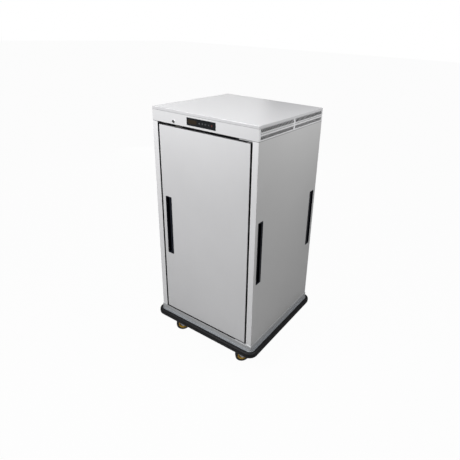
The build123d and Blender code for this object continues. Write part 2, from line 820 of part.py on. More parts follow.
def plenum_baffle():
    """Box under the fan and heater, with a round intake below and outlet slots in two sides."""
    outer = block((-baffle_half, baffle_half), (-baffle_half, baffle_half), (baffle_z, z_cavity_top))
    inner = baffle_half - baffle_sheet
    box = outer - block((-inner, inner), (-inner, inner), (baffle_z + baffle_sheet, z_cavity_top + 1))
    hole = rod(baffle_intake, (0, 0, baffle_z - 1), (0, 0, baffle_z + baffle_sheet + 1))
    for angle in (0, 60, 120):
        hole -= Rot(0, 0, angle) * block((-2 * baffle_intake, 2 * baffle_intake), (-2, 2), (baffle_z - 2, baffle_z + 4))
    box -= hole
    for index in range(baffle_slots):
        y = (index - (baffle_slots - 1) / 2) * baffle_slot_pitch
        middle = (baffle_z + z_cavity_top) / 2
        span = (y - baffle_slot_width / 2, y + baffle_slot_width / 2)
        tall = (middle - baffle_drop / 4, middle + baffle_drop / 4)
        box -= block((-baffle_half - 1, baffle_half + 1), span, tall)
    return box


def pan_racks():
    """Both racks: three uprights a side and the angle ledges that trays slide on."""
    uprights, ledges = [], []
    face = cavity_half - upright_sheet
    for y in (-upright_spread, 0, upright_spread):
        span = (y - upright_width / 2, y + upright_width / 2)
        uprights.append(block((face, cavity_half), span, (rack_foot, rack_foot + rack_height)))
    for index in range(ledge_count):
        z = first_ledge + index * ledge_pitch
        ledge = block((face - ledge_width, face), (rack_front, rack_back), (z - ledge_sheet, z))
        web = (face - ledge_sheet, face)
        ledges.append(ledge + block(web, (rack_front, rack_back), (z - ledge_drop, z)))
    solids = uprights + ledges
    return solids + [solid.mirror(Plane.YZ) for solid in solids]


def wire_shelf():
    """Lift-out wire shelf, at the height of its rods' axes."""
    z = 0
    x = cavity_half - upright_sheet - ledge_sheet - shelf_inset
    y = (rack_front + 2 * shelf_rod, rack_back - 2 * shelf_rod)
    corners = [(-x, y[0]), (x, y[0]), (x, y[1]), (-x, y[1])]
    shelf = None
    for index, start in enumerate(corners):
        end = corners[(index + 1) % len(corners)]
        side = rod(shelf_rod, (*start, z), (*end, z)) + Pos(*start, z) * Sphere(shelf_rod)
        shelf = side if shelf is None else shelf + side
    for index in range(shelf_wires):
        across = -x + 2 * x * (index + 1) / (shelf_wires + 1)
        shelf += rod(shelf_wire, (across, y[0], z), (across, y[1], z))
    return shelf


def water_pan():
    """Shallow humidity pan on the cavity floor."""
    x = (-pan_width / 2, pan_width / 2)
    y = (cavity_back - pan_back - pan_depth, cavity_back - pan_back)
    top = z_cavity + pan_height
    pan = block(x, y, (z_cavity, top))
    rim_x, rim_y = (x[0] - pan_rim, x[1] + pan_rim), (y[0] - pan_rim, y[1] + pan_rim)
    pan += block(rim_x, rim_y, (top - 2 * pan_sheet, top))
    inner_x, inner_y = (x[0] + pan_sheet, x[1] - pan_sheet), (y[0] + pan_sheet, y[1] - pan_sheet)
    return pan - block(inner_x, inner_y, (z_cavity + pan_sheet, top + 1))


def control_board():
    """Closed box of relays and power board on the head's floor."""
    x, y = control_centre
    box = block(
        (x - control_width / 2, x + control_width / 2),
        (y - control_depth / 2, y + control_depth / 2),
        (tray_top, tray_top + control_height),
    )
    return fillet(box.edges().group_by(Axis.Z)[-1], 3)


def power_inlet():
    """Recessed mains inlet with three pins, in the rear panel."""
    z = z_head + inlet_rise
    half_w, half_h = inlet_width / 2, inlet_height / 2
    span = (inlet_centre - half_w, inlet_centre + half_w)
    body = block(span, (half_y - inlet_body, half_y), (z - half_h, z + half_h))
    rim = (span[0] - inlet_flange, span[1] + inlet_flange)
    flange = block(rim, (half_y, half_y + inlet_flange_sheet), (z - half_h - 4, z + half_h + 4))
    body += fillet(flange.edges().filter_by(Axis.Y), 4)
    mouth = (span[0] + inlet_wall, span[1] - inlet_wall)
    recess = (half_y + inlet_flange_sheet - inlet_recess, half_y + inlet_flange_sheet + 1)
    body -= block(mouth, recess, (z - half_h + inlet_wall, z + half_h - inlet_wall))
    for dx, dz in ((-7, -2), (0, 2), (7, -2)):
        pin = (inlet_centre + dx - 1, inlet_centre + dx + 1)
        body += block(pin, (recess[0] - 1, half_y - 3), (z + dz - 2, z + dz + 2))
    return body


def temperature_probe():
    """Probe tube held off the rear wall by two clips."""
    y = cavity_back - probe_standoff
    tube = rod(probe_radius, (0, y, probe_height - probe_length), (0, y, probe_height))
    for z in (probe_height - probe_length + 15, probe_height - 15):
        tube += block((-probe_radius - 1, probe_radius + 1), (y - 1, cavity_back), (z - 4, z + 4))
    return tube


def caster_plates():
    """Fixed half of each caster: plate, ball race and kingpin with its nut."""
    plates = []
    for _, x, y, _ in caster_corners():
        plate = Pos(x, y, z_base - mount_plate_sheet / 2) * Box(mount_plate_x, mount_plate_y, mount_plate_sheet)
        plate = fillet(plate.edges().filter_by(Axis.Z), 8)
        race_top = z_base - mount_plate_sheet
        plate += rod(race_radius, (x, y, race_top - race_height), (x, y, race_top))
        nut_top = crown_bottom - crown_gap
        plate += rod(kingpin_radius, (x, y, nut_top - kingpin_nut_height), (x, y, race_top))
        plate += rod(kingpin_nut, (x, y, nut_top - kingpin_nut_height), (x, y, nut_top))
        for bolt_x, bolt_y in bolt_points(x, y):
            foot = (bolt_x, bolt_y, z_base - mount_plate_sheet - 1)
            plate -= rod(bolt_radius + bolt_hole_gap, foot, (bolt_x, bolt_y, z_base + 1))
        plates.append(plate)
    return plates


def caster_bolts():
    """Bolts and nuts that clamp the four caster plates to the base pads."""
    bolts = []
    for _, x, y, _ in caster_corners():
        for bolt_x, bolt_y in bolt_points(x, y):
            low, high = z_base - mount_plate_sheet, z_base + pad_sheet
            head = Pos(bolt_x, bolt_y, low - bolt_head_height) * RegularPolygon(bolt_head_radius, 6)
            nut = Pos(bolt_x, bolt_y, high) * RegularPolygon(bolt_head_radius, 6)
            bolt = extrude(head, bolt_head_height) + extrude(nut, bolt_head_height)
            bolt += rod(bolt_radius, (bolt_x, bolt_y, low - 1), (bolt_x, bolt_y, high + bolt_head_height + 2))
            bolts.append(bolt)
    return bolts


def leg_outline(braked):
    """Side view of a fork leg: from the crown to the axle's eye, and the pedal's ear."""
    crown = Pos(-2, crown_bottom + crown_sheet / 2) * Rectangle(44, crown_sheet)
    eye = Pos(-caster_trail, axle_z) * Circle(leg_eye)
    outline = make_hull(crown.edges() + eye.edges())
    if braked:
        ear = Pos(pedal_y, pedal_z) * Circle(pedal_pin + 4)
        outline += make_hull(ear.edges() + (Pos(-22, crown_bottom - 8) * Circle(6)).edges())
    return outline


def caster_fork(braked):
    """Swivelling fork about its kingpin: crown and two legs, and the axle bolt as its own solid."""
    fork = Pos(0, 0, crown_bottom) * extrude(Circle(crown_radius), crown_sheet)
    reach = leg_inner + leg_sheet
    fork += block((-reach, reach), (-24, 20), (crown_bottom, crown_top))
    leg = extrude(Plane.YZ * leg_outline(braked), leg_sheet)
    fork += Pos(leg_inner, 0, 0) * leg
    fork += Pos(-reach, 0, 0) * leg
    fork -= rod(kingpin_radius + kingpin_gap, (0, 0, crown_bottom - 1), (0, 0, crown_top + 1))
    fork -= rod(axle_radius, (-reach - 1, -caster_trail, axle_z), (reach + 1, -caster_trail, axle_z))
    if braked:
        hole = pedal_pin + pedal_pin_gap
        fork -= rod(hole, (-reach - 1, pedal_y, pedal_z), (reach + 1, pedal_y, pedal_z))
    axle = rod(axle_radius, (-reach, -caster_trail, axle_z), (reach, -caster_trail, axle_z))
    for sign in (-1, 1):
        inner = (sign * reach, -caster_trail, axle_z)
        axle += rod(axle_head, inner, (sign * (reach + axle_head_sheet), -caster_trail, axle_z))
    return [fork, axle]


def wheel_disc(radius, width):
    """A disc about the wheel's axis."""
    return rod(radius, (-width / 2, -caster_trail, axle_z), (width / 2, -caster_trail, axle_z))


def caster_tyre():
    """Rubber tyre with rounded shoulders."""
    tyre = fillet(wheel_disc(wheel_radius, wheel_width).edges(), tyre_round)
    return tyre - wheel_disc(wheel_radius - tyre_band, wheel_width + 2)


def caster_rim():
    """Wheel centre: outer ring, web and hub, bored for the axle."""
    ring_outer = wheel_radius - tyre_band
    rim = wheel_disc(ring_outer, rim_width) - wheel_disc(ring_outer - rim_ring, rim_width + 2)
    rim += wheel_disc(ring_outer - rim_ring / 2, rim_web)
    rim += wheel_disc(hub_radius, hub_width)
    return rim - wheel_disc(axle_radius + axle_gap, hub_width + 2)


def brake_pedal():
    """Foot pedal on its pin, with the shoe that comes down on the tyre."""
    half = pedal_width / 2
    reach = leg_inner + leg_sheet
    pedal = rod(pedal_boss, (-half, pedal_y, pedal_z), (half, pedal_y, pedal_z))
    top = pedal_boss - 0.5
    plate = block((-half, half), (-pedal_length, 0), (top - pedal_sheet, top))
    plate = fillet(plate.edges().filter_by(Axis.Z).group_by(Axis.Y)[0], 8)
    pedal += Pos(0, pedal_y, pedal_z) * Rot(pedal_slope, 0, 0) * plate
    shoe = (pedal_y - shoe_set - shoe_length / 2, pedal_y - shoe_set + shoe_length / 2)
    tyre_top = axle_z + math.sqrt(wheel_radius**2 - (shoe[1] + caster_trail) ** 2)
    pedal += block((-half / 2, half / 2), shoe, (tyre_top + shoe_gap, pedal_z))
    return pedal + rod(pedal_pin, (-reach, pedal_y, pedal_z), (reach, pedal_y, pedal_z))


# Cabinet
save("base_frame", base_frame())
save("bumper", bumper())
save("plinth", plinth())
save("left_side_panel", side_panel(-1))
save("right_side_panel", side_panel(1))
save("rear_panel", rear_panel())
save("panel_screws", panel_screws())
save("door_frame", door_frame())
save("inner_liner", inner_liner())
save("wall_insulation", wall_insulation())
save("head_tray", head_tray())
save("fascia_panel", fascia_panel())
save("left_vent_panel", vent_panel(-1))
save("right_vent_panel", vent_panel(1))
save("top_lid", top_lid())
save("side_grip_cups", side_grip_cups())

# Cavity fittings
save("pan_racks", pan_racks())
for shelf_name, shelf_level in shelf_levels.items():
    shelf_z = first_ledge + shelf_level * ledge_pitch + shelf_rod + shelf_gap
    save(shelf_name, Pos(0, 0, shelf_z) * wire_shelf())
save("water_pan", water_pan())
save("plenum_baffle", plenum_baffle())
save("heater_element", heater_element())
save("fan_wheel", fan_wheel())
save("fan_motor", fan_motor())
save("temperature_probe", temperature_probe())

# Head electrics
save("display_module", display_module())
for key_index, key_name in enumerate(key_names):
    save(key_name, push_key(key_index))
save("lock_housing", lock_housing())
save("lock_barrel", lock_barrel())
save("control_board", control_board())
save("power_inlet", power_inlet())

# Door
save("door_skin", door_skin())
save("door_liner", door_liner())
save("door_core", door_core())
save("door_gasket", door_gasket())
save("door_grip_cup", Pos(door_grip_centre, front, grip_height_centre) * grip_cup())
save("hinge_bushes", hinge_bushes())
save("hinge_brackets", hinge_brackets())

# Casters
save("caster_plates", caster_plates())
save("caster_bolts", caster_bolts())
for corner, corner_x, corner_y, has_brake in caster_corners():
    place = Pos(corner_x, corner_y, 0) * Rot(0, 0, caster_heading)
    save(f"caster_fork_{corner}", [place * solid for solid in caster_fork(has_brake)])
    save(f"caster_tyre_{corner}", place * caster_tyre())
    save(f"caster_rim_{corner}", place * caster_rim())
    if has_brake:
        save(f"brake_pedal_{corner}", place * brake_pedal())
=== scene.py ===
# %% [markdown]
# A heated banquet cart: a tall insulated steel cabinet on a rubber-edged base with four casters.
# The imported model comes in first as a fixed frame, in metres, with +Z up and the door towards -Y.
# Everything below either gives one of its nodes a finish, or adds a detailed piece that rides on
# one of its bodies, so that the door, keys, casters and pedals still move.

# %% The frame
import json
import math

import bmesh
import bpy
from mathutils import Matrix, Vector


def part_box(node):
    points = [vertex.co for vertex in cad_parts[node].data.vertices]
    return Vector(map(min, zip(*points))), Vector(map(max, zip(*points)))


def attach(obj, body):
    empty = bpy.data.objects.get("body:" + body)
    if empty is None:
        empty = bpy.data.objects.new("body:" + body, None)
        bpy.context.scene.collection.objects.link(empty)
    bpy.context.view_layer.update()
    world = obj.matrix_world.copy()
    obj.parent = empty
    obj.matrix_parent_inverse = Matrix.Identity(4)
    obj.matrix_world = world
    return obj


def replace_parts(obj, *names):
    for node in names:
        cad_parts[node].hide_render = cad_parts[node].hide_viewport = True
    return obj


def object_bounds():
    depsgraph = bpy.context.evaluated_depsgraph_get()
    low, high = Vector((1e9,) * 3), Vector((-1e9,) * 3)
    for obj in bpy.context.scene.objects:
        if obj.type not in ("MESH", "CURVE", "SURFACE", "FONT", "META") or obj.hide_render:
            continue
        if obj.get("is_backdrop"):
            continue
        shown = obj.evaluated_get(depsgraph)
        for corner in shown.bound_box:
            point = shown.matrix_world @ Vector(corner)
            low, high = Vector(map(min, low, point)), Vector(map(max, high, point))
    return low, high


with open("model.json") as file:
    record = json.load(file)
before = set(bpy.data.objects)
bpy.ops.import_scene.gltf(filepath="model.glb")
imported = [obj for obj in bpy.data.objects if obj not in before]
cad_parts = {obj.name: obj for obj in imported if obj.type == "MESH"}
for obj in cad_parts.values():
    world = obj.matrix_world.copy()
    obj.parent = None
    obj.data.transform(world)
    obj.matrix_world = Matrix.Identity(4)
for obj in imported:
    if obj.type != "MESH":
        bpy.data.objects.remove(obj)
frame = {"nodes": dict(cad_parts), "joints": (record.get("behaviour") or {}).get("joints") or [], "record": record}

nodes = frame["nodes"]
cad_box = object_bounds()
joint_of = {joint["child"]: joint for joint in frame["joints"]}

# %% [markdown]
# The photograph looks down at the door's right corner with strong perspective. The camera could be
# placed by eye, but long straight edges give it away: its place, angles, roll and focal length come
# from a fit to them. The lens shift moves the cart to its place in the picture, and is held small
# enough to keep the whole cart in view from other sides.

# %% The camera
FRAME_PIXELS = 460
SENSOR = 36.0
FOCAL_PIXELS = 413.02
CENTRE_PIXEL = (263.89, 200.0)
AZIMUTH, ELEVATION, ROLL = 32.145, 22.715, 2.731
EYE = Vector((1.5830, -2.1843, 2.1705))


def make_camera():
    """Camera at the photograph's viewpoint."""
    lens = bpy.data.cameras.new("photo_camera")
    lens.sensor_width = SENSOR
    lens.lens = FOCAL_PIXELS / FRAME_PIXELS * SENSOR
    lens.shift_x = (FRAME_PIXELS / 2 - CENTRE_PIXEL[0]) / FRAME_PIXELS
    lens.shift_y = (CENTRE_PIXEL[1] - FRAME_PIXELS / 2) / FRAME_PIXELS
    camera = bpy.data.objects.new("photo_camera", lens)
    bpy.context.scene.collection.objects.link(camera)
    a, e, r = (math.radians(angle) for angle in (AZIMUTH, ELEVATION, ROLL))
    back = Vector((math.sin(a) * math.cos(e), -math.cos(a) * math.cos(e), math.sin(e)))
    side = (-back).cross(Vector((0, 0, 1))).normalized()
    rise = back.cross(side)
    right = side * math.cos(r) + rise * math.sin(r)
    up = rise * math.cos(r) - side * math.sin(r)
    turn = Matrix((right, up, back)).transposed().to_4x4()
    camera.matrix_world = Matrix.Translation(EYE) @ turn
    bpy.context.scene.camera = camera
    return lens


lens = make_camera()
print("camera: lens", round(lens.lens, 2), "shift", round(lens.shift_x, 3), round(lens.shift_y, 3))

# %% [markdown]
# Materials are worked out with ordinary Python expressions. A surface value wraps a socket, and
# adding or multiplying it adds a Math node, which reads better than a list of links. Every other
# node is made by one method that takes its type, its settings and its inputs.

# %% Shader maths


class SurfaceValue:
    """A number that varies over a surface, held as a node's output socket."""

    def __init__(self, finish, socket):
        self.finish, self.socket = finish, socket

    def _maths(self, operation, first, second):
        node = self.finish.node("ShaderNodeMath", {"operation": operation}, {0: first, 1: second})
        return SurfaceValue(self.finish, node.outputs[0])

    def __add__(self, other):
        return self._maths("ADD", self, other)

    def __radd__(self, other):
        return self._maths("ADD", other, self)

    def __sub__(self, other):
        return self._maths("SUBTRACT", self, other)

    def __rsub__(self, other):
        return self._maths("SUBTRACT", other, self)

    def __mul__(self, other):
        return self._maths("MULTIPLY", self, other)

    def __rmul__(self, other):
        return self._maths("MULTIPLY", other, self)


class Finish:
    """One material, with helpers that add and link its nodes."""

    def __init__(self, name):
        self.material = bpy.data.materials.new(name)
        self.material.use_nodes = True
        self.tree = self.material.node_tree
        self.shader = self.tree.nodes["Principled BSDF"]
        self.place = self.node("ShaderNodeTexCoord").outputs["Object"]

    def node(self, kind, settings=None, inputs=None):
        """Adds a node: its settings first, then each input's value or link."""
        made = self.tree.nodes.new(kind)
        for name, value in (settings or {}).items():
            setattr(made, name, value)
        for name, value in (inputs or {}).items():
            if isinstance(value, SurfaceValue):
                value = value.socket
            if isinstance(value, bpy.types.NodeSocket):
                self.tree.links.new(value, made.inputs[name])
            else:
                made.inputs[name].default_value = value
        return made

    def noise(self, stretch, detail=3.0, rough=0.6):
        """Noise over the object, stretched by a scale along each axis, from 0 to 1."""
        place = self.node("ShaderNodeMapping", inputs={"Vector": self.place, "Scale": stretch})
        made = self.node(
            "ShaderNodeTexNoise",
            inputs={"Vector": place.outputs[0], "Scale": 1.0, "Detail": detail, "Roughness": rough},
        )
        return SurfaceValue(self, made.outputs["Fac"])

    def tint(self, dark, light, share):
        """A colour that runs from dark to light as share goes from 0 to 1."""
        made = self.node("ShaderNodeMix", {"data_type": "RGBA"}, {0: share})
        made.inputs[6].default_value = (*dark, 1)
        made.inputs[7].default_value = (*light, 1)
        return made.outputs[2]

    def bump(self, height, distance, strength=1.0):
        """Raises the surface by a height in metres."""
        sizes = {"Strength": strength, "Distance": distance, "Height": height}
        self.set("Normal", self.node("ShaderNodeBump", inputs=sizes).outputs[0])

    def set(self, name, value):
        """Sets or links one of the shader's own sockets."""
        socket = self.shader.inputs[name]
        if isinstance(value, SurfaceValue):
            value = value.socket
        if isinstance(value, bpy.types.NodeSocket):
            self.tree.links.new(value, socket)
        else:
            socket.default_value = value


def shade(colour, factor):
    """A colour made darker or lighter."""
    return tuple(min(1.0, part * factor) for part in colour)


finishes = {}
print("shader maths ready")

# %% [markdown]
# The shell is stainless sheet with a satin brushed finish. Brushing leaves very fine parallel
# scratches, so the noise is drawn out over a hundred times along the grain: it varies the roughness
# and a bump a few micrometres high. A second, slow noise gives the faint cloudiness of real sheet.
# In each finish the roughness wanders a little, about the value that is asked for.

# %% Brushed steel
GRAIN_FINE, GRAIN_LONG = 900.0, 7.0
CLOUD_SCALE = (3.1, 3.1, 2.3)
SCRATCH_SHARE, CLOUD_SHARE = 0.45, 0.55
STEEL_DARK, STEEL_LIGHT = 0.94, 1.06
SCRATCH_HEIGHT, SCRATCH_STRENGTH = 0.00002, 0.35


def brushed(name, colour, rough=0.38, metal=0.4, grain="z"):
    """Satin stainless sheet, brushed along one axis."""
    finish = Finish(name)
    stretch = tuple(GRAIN_LONG if axis == grain else GRAIN_FINE for axis in "xyz")
    scratch = finish.noise(stretch, 2.0)
    cloud = finish.noise(CLOUD_SCALE, 2.0)
    share = scratch * SCRATCH_SHARE + cloud * CLOUD_SHARE
    finish.set("Base Color", finish.tint(shade(colour, STEEL_DARK), shade(colour, STEEL_LIGHT), share))
    finish.set("Roughness", rough - 0.05 + scratch * 0.07 + cloud * 0.04)
    finish.set("Metallic", metal)
    finish.bump(scratch, SCRATCH_HEIGHT, SCRATCH_STRENGTH)
    finishes[name] = finish.material


print("brushed steel: grain", GRAIN_FINE, "across and", GRAIN_LONG, "along")

# %% [markdown]
# Moulded plastic and rubber have a fine random grain from the mould, and dust settles in it. A
# small-scale noise drives both the bump and a slight change of gloss.

# %% Moulded plastic and rubber
PATCH_SCALE = 14.0
PATCH_SHARE, PORE_SHARE = 0.7, 0.3
MOULD_DARK, MOULD_LIGHT = 0.82, 1.2
PORE_STRENGTH = 0.5


def moulded(name, colour, rough=0.5, grain=1600.0, depth=0.00006, coat=0.0, sheen=0.5):
    """Moulded plastic or rubber with a fine grain."""
    finish = Finish(name)
    pore = finish.noise((grain, grain, grain), 2.0)
    patch = finish.noise((PATCH_SCALE, PATCH_SCALE, PATCH_SCALE), 3.0)
    share = patch * PATCH_SHARE + pore * PORE_SHARE
    finish.set("Base Color", finish.tint(shade(colour, MOULD_DARK), shade(colour, MOULD_LIGHT), share))
    finish.set("Roughness", rough - 0.06 + patch * 0.08 + pore * 0.05)
    finish.set("Coat Weight", coat)
    finish.set("Specular IOR Level", sheen)
    finish.bump(pore, depth, PORE_STRENGTH)
    finishes[name] = finish.material


print("moulded finish ready")

# %% [markdown]
# Screws, wire, casters and the base are plated. Plating dulls in patches a few centimetres wide and
# is speckled close up, so two noises of those sizes share the colour, the gloss and the bump.

# %% Plated metal
CRYSTAL_SCALE, SPECK_SCALE = 55.0, 700.0
COAT_DARK, COAT_LIGHT = 0.85, 1.1
SPECK_HEIGHT, SPECK_STRENGTH = 0.00003, 0.4


def plated(name, colour, rough=0.25, metal=1.0):
    """Zinc or bright plating with faint crystal patches."""
    finish = Finish(name)
    patch = finish.noise((CRYSTAL_SCALE, CRYSTAL_SCALE, CRYSTAL_SCALE), 4.0)
    speck = finish.noise((SPECK_SCALE, SPECK_SCALE, SPECK_SCALE), 2.0)
    finish.set("Base Color", finish.tint(shade(colour, COAT_DARK), shade(colour, COAT_LIGHT), patch))
    finish.set("Roughness", rough + patch * 0.12 + speck * 0.05 - 0.08)
    finish.set("Metallic", metal)
    finish.bump(speck, SPECK_HEIGHT, SPECK_STRENGTH)
    finishes[name] = finish.material


print("plated finish ready")

# %% [markdown]
# The walls and the door are filled with rigid foam. Its cut face is full of small round cells, which
# a Voronoi pattern gives directly: its distance is low in a cell's middle and high at its wall. The
# colour darkens towards each cell's sunken middle: painted shade in the hollows.

# %% Rigid foam
CELL_SCALE = 450.0
CELL_DEPTH, CELL_STRENGTH = 0.0004, 0.8
# Painted shade: how much darker the foam is in each cell's hollow.
CELL_HOLLOW_SHADE = 0.8
MATT = 0.9


def foam(name, colour):
    """Rigid foam with open cells."""
    finish = Finish(name)
    cell = finish.node("ShaderNodeTexVoronoi", inputs={"Vector": finish.place, "Scale": CELL_SCALE})
    depth = SurfaceValue(finish, cell.outputs["Distance"])
    # Painted shade, darkest in each cell's sunken middle.
    finish.set("Base Color", finish.tint(shade(colour, CELL_HOLLOW_SHADE), colour, depth))
    finish.set("Roughness", MATT)
    finish.bump(depth, CELL_DEPTH, CELL_STRENGTH)
    finishes[name] = finish.material


print("foam finish ready")

# %% [markdown]
# Each material slot of the record gets one finish. Sheet that is brushed along its length has its
# grain along that axis, the cavity's sheet is smoother and more mirror-like than the outside, and
# blacks differ: the grips are the deepest, the bumper and tyres greyer. The frame's sheet is a
# lighter grey than the door's: a painted highlight for its bright folded edges. The nodes then take
# their slot's finish in one loop, so that none is left out.

# %% A finish for each slot
plated("galvanised_base", (0.27, 0.285, 0.305), 0.52, 0.35)
moulded("black_bumper", (0.009, 0.009, 0.010), 0.5, 1100.0, sheen=0.15)
brushed("base_rails", (0.46, 0.47, 0.48), 0.42, 0.4, "x")
brushed("side_panels", (0.52, 0.52, 0.52))
brushed("rear_steel", (0.50, 0.50, 0.51))
# Painted highlight: the frame's sheet is lighter than the door's same steel.
brushed("frame_steel", (0.72, 0.72, 0.73))
brushed("fascia_steel", (0.62, 0.62, 0.63), grain="x")
brushed("vent_steel", (0.66, 0.66, 0.67), grain="y")
brushed("lid_steel", (0.54, 0.54, 0.55), 0.38, 0.4, "x")
brushed("liner_steel", (0.58, 0.58, 0.59), 0.3, 0.85)
brushed("door_steel", (0.62, 0.62, 0.63))
brushed("door_back_steel", (0.58, 0.58, 0.59), 0.3, 0.85)
brushed("rack_steel", (0.56, 0.56, 0.58), 0.3, 0.9, "y")
plated("shelf_wire", (0.66, 0.66, 0.68), 0.18)
plated("zinc_screws", (0.58, 0.58, 0.57), 0.3)
foam("insulation", (0.76, 0.68, 0.42))
moulded("grip_plastic", (0.004, 0.005, 0.009), 0.45, 1500.0, sheen=0.12)
plated("heater_sheath", (0.24, 0.19, 0.16), 0.42, 0.8)
plated("fan_alloy", (0.6, 0.6, 0.62), 0.34)
moulded("motor_can", (0.06, 0.06, 0.065), 0.4, 900.0)
moulded("display_plastic", (0.007, 0.008, 0.009), 0.3, 2400.0, 0.00002, 0.05, 0.2)
moulded("key_plastic", (0.014, 0.014, 0.015), 0.42, 2000.0, sheen=0.2)
moulded("key_red_plastic", (0.018, 0.012, 0.012), 0.42, 2000.0, sheen=0.2)
plated("lock_chrome", (0.66, 0.66, 0.66), 0.2)
plated("control_box", (0.34, 0.35, 0.37), 0.5, 0.4)
moulded("inlet_plastic", (0.02, 0.02, 0.02), 0.4, 1500.0)
moulded("gasket_rubber", (0.03, 0.03, 0.032), 0.6, 900.0)
moulded("bush_plastic", (0.07, 0.07, 0.07), 0.4, 1400.0)
plated("hinge_steel", (0.40, 0.40, 0.41), 0.55, 0.3)
plated("caster_zinc", (0.5, 0.5, 0.52), 0.32)
moulded("caster_tyre", (0.014, 0.014, 0.015), 0.55, 700.0)
moulded("caster_yellow", (0.62, 0.36, 0.02), 0.35, 1500.0, 0.00004, 0.2)
moulded("pedal_plastic", (0.22, 0.02, 0.015), 0.4, 1500.0)
for part in frame["record"]["subparts"]:
    piece = nodes[part["node"]]
    if not piece.material_slots:
        piece.data.materials.append(None)
    for holder in piece.material_slots:
        holder.material = finishes[part["material_slot"]]

# %% [markdown]
# The room is a plain pale floor under a plain world. Rays from the camera see both as white, or
# nearly so; light and reflections meet an even grey, so the cart is lit softly, its colours stay as
# written, and the floor keeps its shadow. A brighter world would bleach the steel instead.

# %% Floor and world
FLOOR_REACH = 40.0
FLOOR_GREY = (0.35, 0.35, 0.35, 1)
WHITE_SEEN, WHITE_MIRRORED = 0.97, 0.12
WORLD_LIGHT = 0.2
WHITE = (1, 1, 1, 1)


def make_floor():
    """Wide pale floor that keeps the cart's shadow."""
    mesh = bpy.data.meshes.new("studio_floor")
    r = FLOOR_REACH
    mesh.from_pydata([(-r, -r, 0), (r, -r, 0), (r, r, 0), (-r, r, 0)], [], [(0, 1, 2, 3)])
    floor = bpy.data.objects.new("studio_floor", mesh)
    bpy.context.scene.collection.objects.link(floor)
    finish = Finish("studio_floor")
    finish.set("Base Color", FLOOR_GREY)
    finish.set("Roughness", MATT)
    finish.set("Specular IOR Level", 0.0)
    glow = finish.node("ShaderNodeEmission", inputs={"Color": WHITE, "Strength": 1.0})
    rays = finish.node("ShaderNodeLightPath")
    seen = SurfaceValue(finish, rays.outputs["Is Camera Ray"]) * WHITE_SEEN
    mirrored = SurfaceValue(finish, rays.outputs["Is Glossy Ray"]) * WHITE_MIRRORED
    mix = finish.node("ShaderNodeMixShader", inputs={0: seen + mirrored})
    finish.tree.links.new(finish.shader.outputs[0], mix.inputs[1])
    finish.tree.links.new(glow.outputs[0], mix.inputs[2])
    finish.tree.links.new(mix.outputs[0], finish.tree.nodes["Material Output"].inputs[0])
    mesh.materials.append(finish.material)
    floor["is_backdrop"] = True


def make_world():
    """White to the camera, and an even grey as light and in reflections."""
    world = bpy.data.worlds.new("studio_world")
    world.use_nodes = True
    tree = world.node_tree
    light = tree.nodes["Background"]
    light.inputs[0].default_value = WHITE
    light.inputs[1].default_value = WORLD_LIGHT
    white = tree.nodes.new("ShaderNodeBackground")
    white.inputs[0].default_value = WHITE
    rays = tree.nodes.new("ShaderNodeLightPath")
    mix = tree.nodes.new("ShaderNodeMixShader")
    tree.links.new(rays.outputs["Is Camera Ray"], mix.inputs[0])
    tree.links.new(light.outputs[0], mix.inputs[1])
    tree.links.new(white.outputs[0], mix.inputs[2])
    tree.links.new(mix.outputs[0], tree.nodes["World Output"].inputs[0])
    bpy.context.scene.world = world


make_floor()
make_world()
bpy.context.scene.view_settings.view_transform = "Standard"
print("floor and world made")

# %% [markdown]
# The door is the brightest side and darkens towards the floor, the vented side is a step darker,
# and the lid has a soft gradient. One wide lamp above the door gives the first, a smaller one high
# at the side the second, and a weak one over the lid the third. A large low lamp behind serves the
# views of the back: kept low and far, it isn't mirrored in the lid.

# %% Lamps
LAMPS = (  # name, place, target, size in metres, watts
    ("door_softbox", (-0.7, -2.2, 2.8), (0, -0.3, 1.4), 1.2, 91),
    ("side_softbox", (1.7, 0.3, 2.7), (0.4, 0, 1.4), 0.8, 47),
    ("lid_softbox", (0.0, -1.0, 3.1), (0, -0.2, 1.7), 1.0, 15),
    ("rear_softbox", (-3.6, 3.6, 1.2), (0, 0, 1.0), 2.6, 75),
)


def make_lamp(name, place, target, size, power):
    """A square softbox aimed at a point."""
    light = bpy.data.lights.new(name, "AREA")
    light.shape, light.size, light.energy = "SQUARE", size, power
    lamp = bpy.data.objects.new(name, light)
    bpy.context.scene.collection.objects.link(lamp)
    aim = (Vector(target) - Vector(place)).to_track_quat("-Z", "Y")
    lamp.matrix_world = Matrix.Translation(place) @ aim.to_matrix().to_4x4()


for lamp in LAMPS:
    make_lamp(*lamp)
print("lamps:", len(LAMPS))

# %% [markdown]
# Every piece made here goes through the same few steps. Its mesh is closed, its faces point
# outwards, its sharp edges are marked and the rest are smooth; then it takes a finish, its slot's or
# one of its own, and the body that it rides on. Turned parts, such as a tyre, are one outline spun
# about an axle. They could be a Screw modifier, but a short loop puts the place into the mesh at
# once, which a finished piece needs, because its object sits at the origin.

# %% Making a piece
SMOOTH_ANGLE, SHARP_ANGLE = 35.0, 20.0
JOIN = 1e-6


def new_piece(name, mesh, body, slot, finish=None):
    """Links a mesh as a piece that rides on a body, in its slot's finish or one of its own."""
    piece = bpy.data.objects.new(name, mesh)
    bpy.context.scene.collection.objects.link(piece)
    mesh.materials.clear()
    mesh.materials.append(finishes[finish or slot])
    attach(piece, body)
    return piece


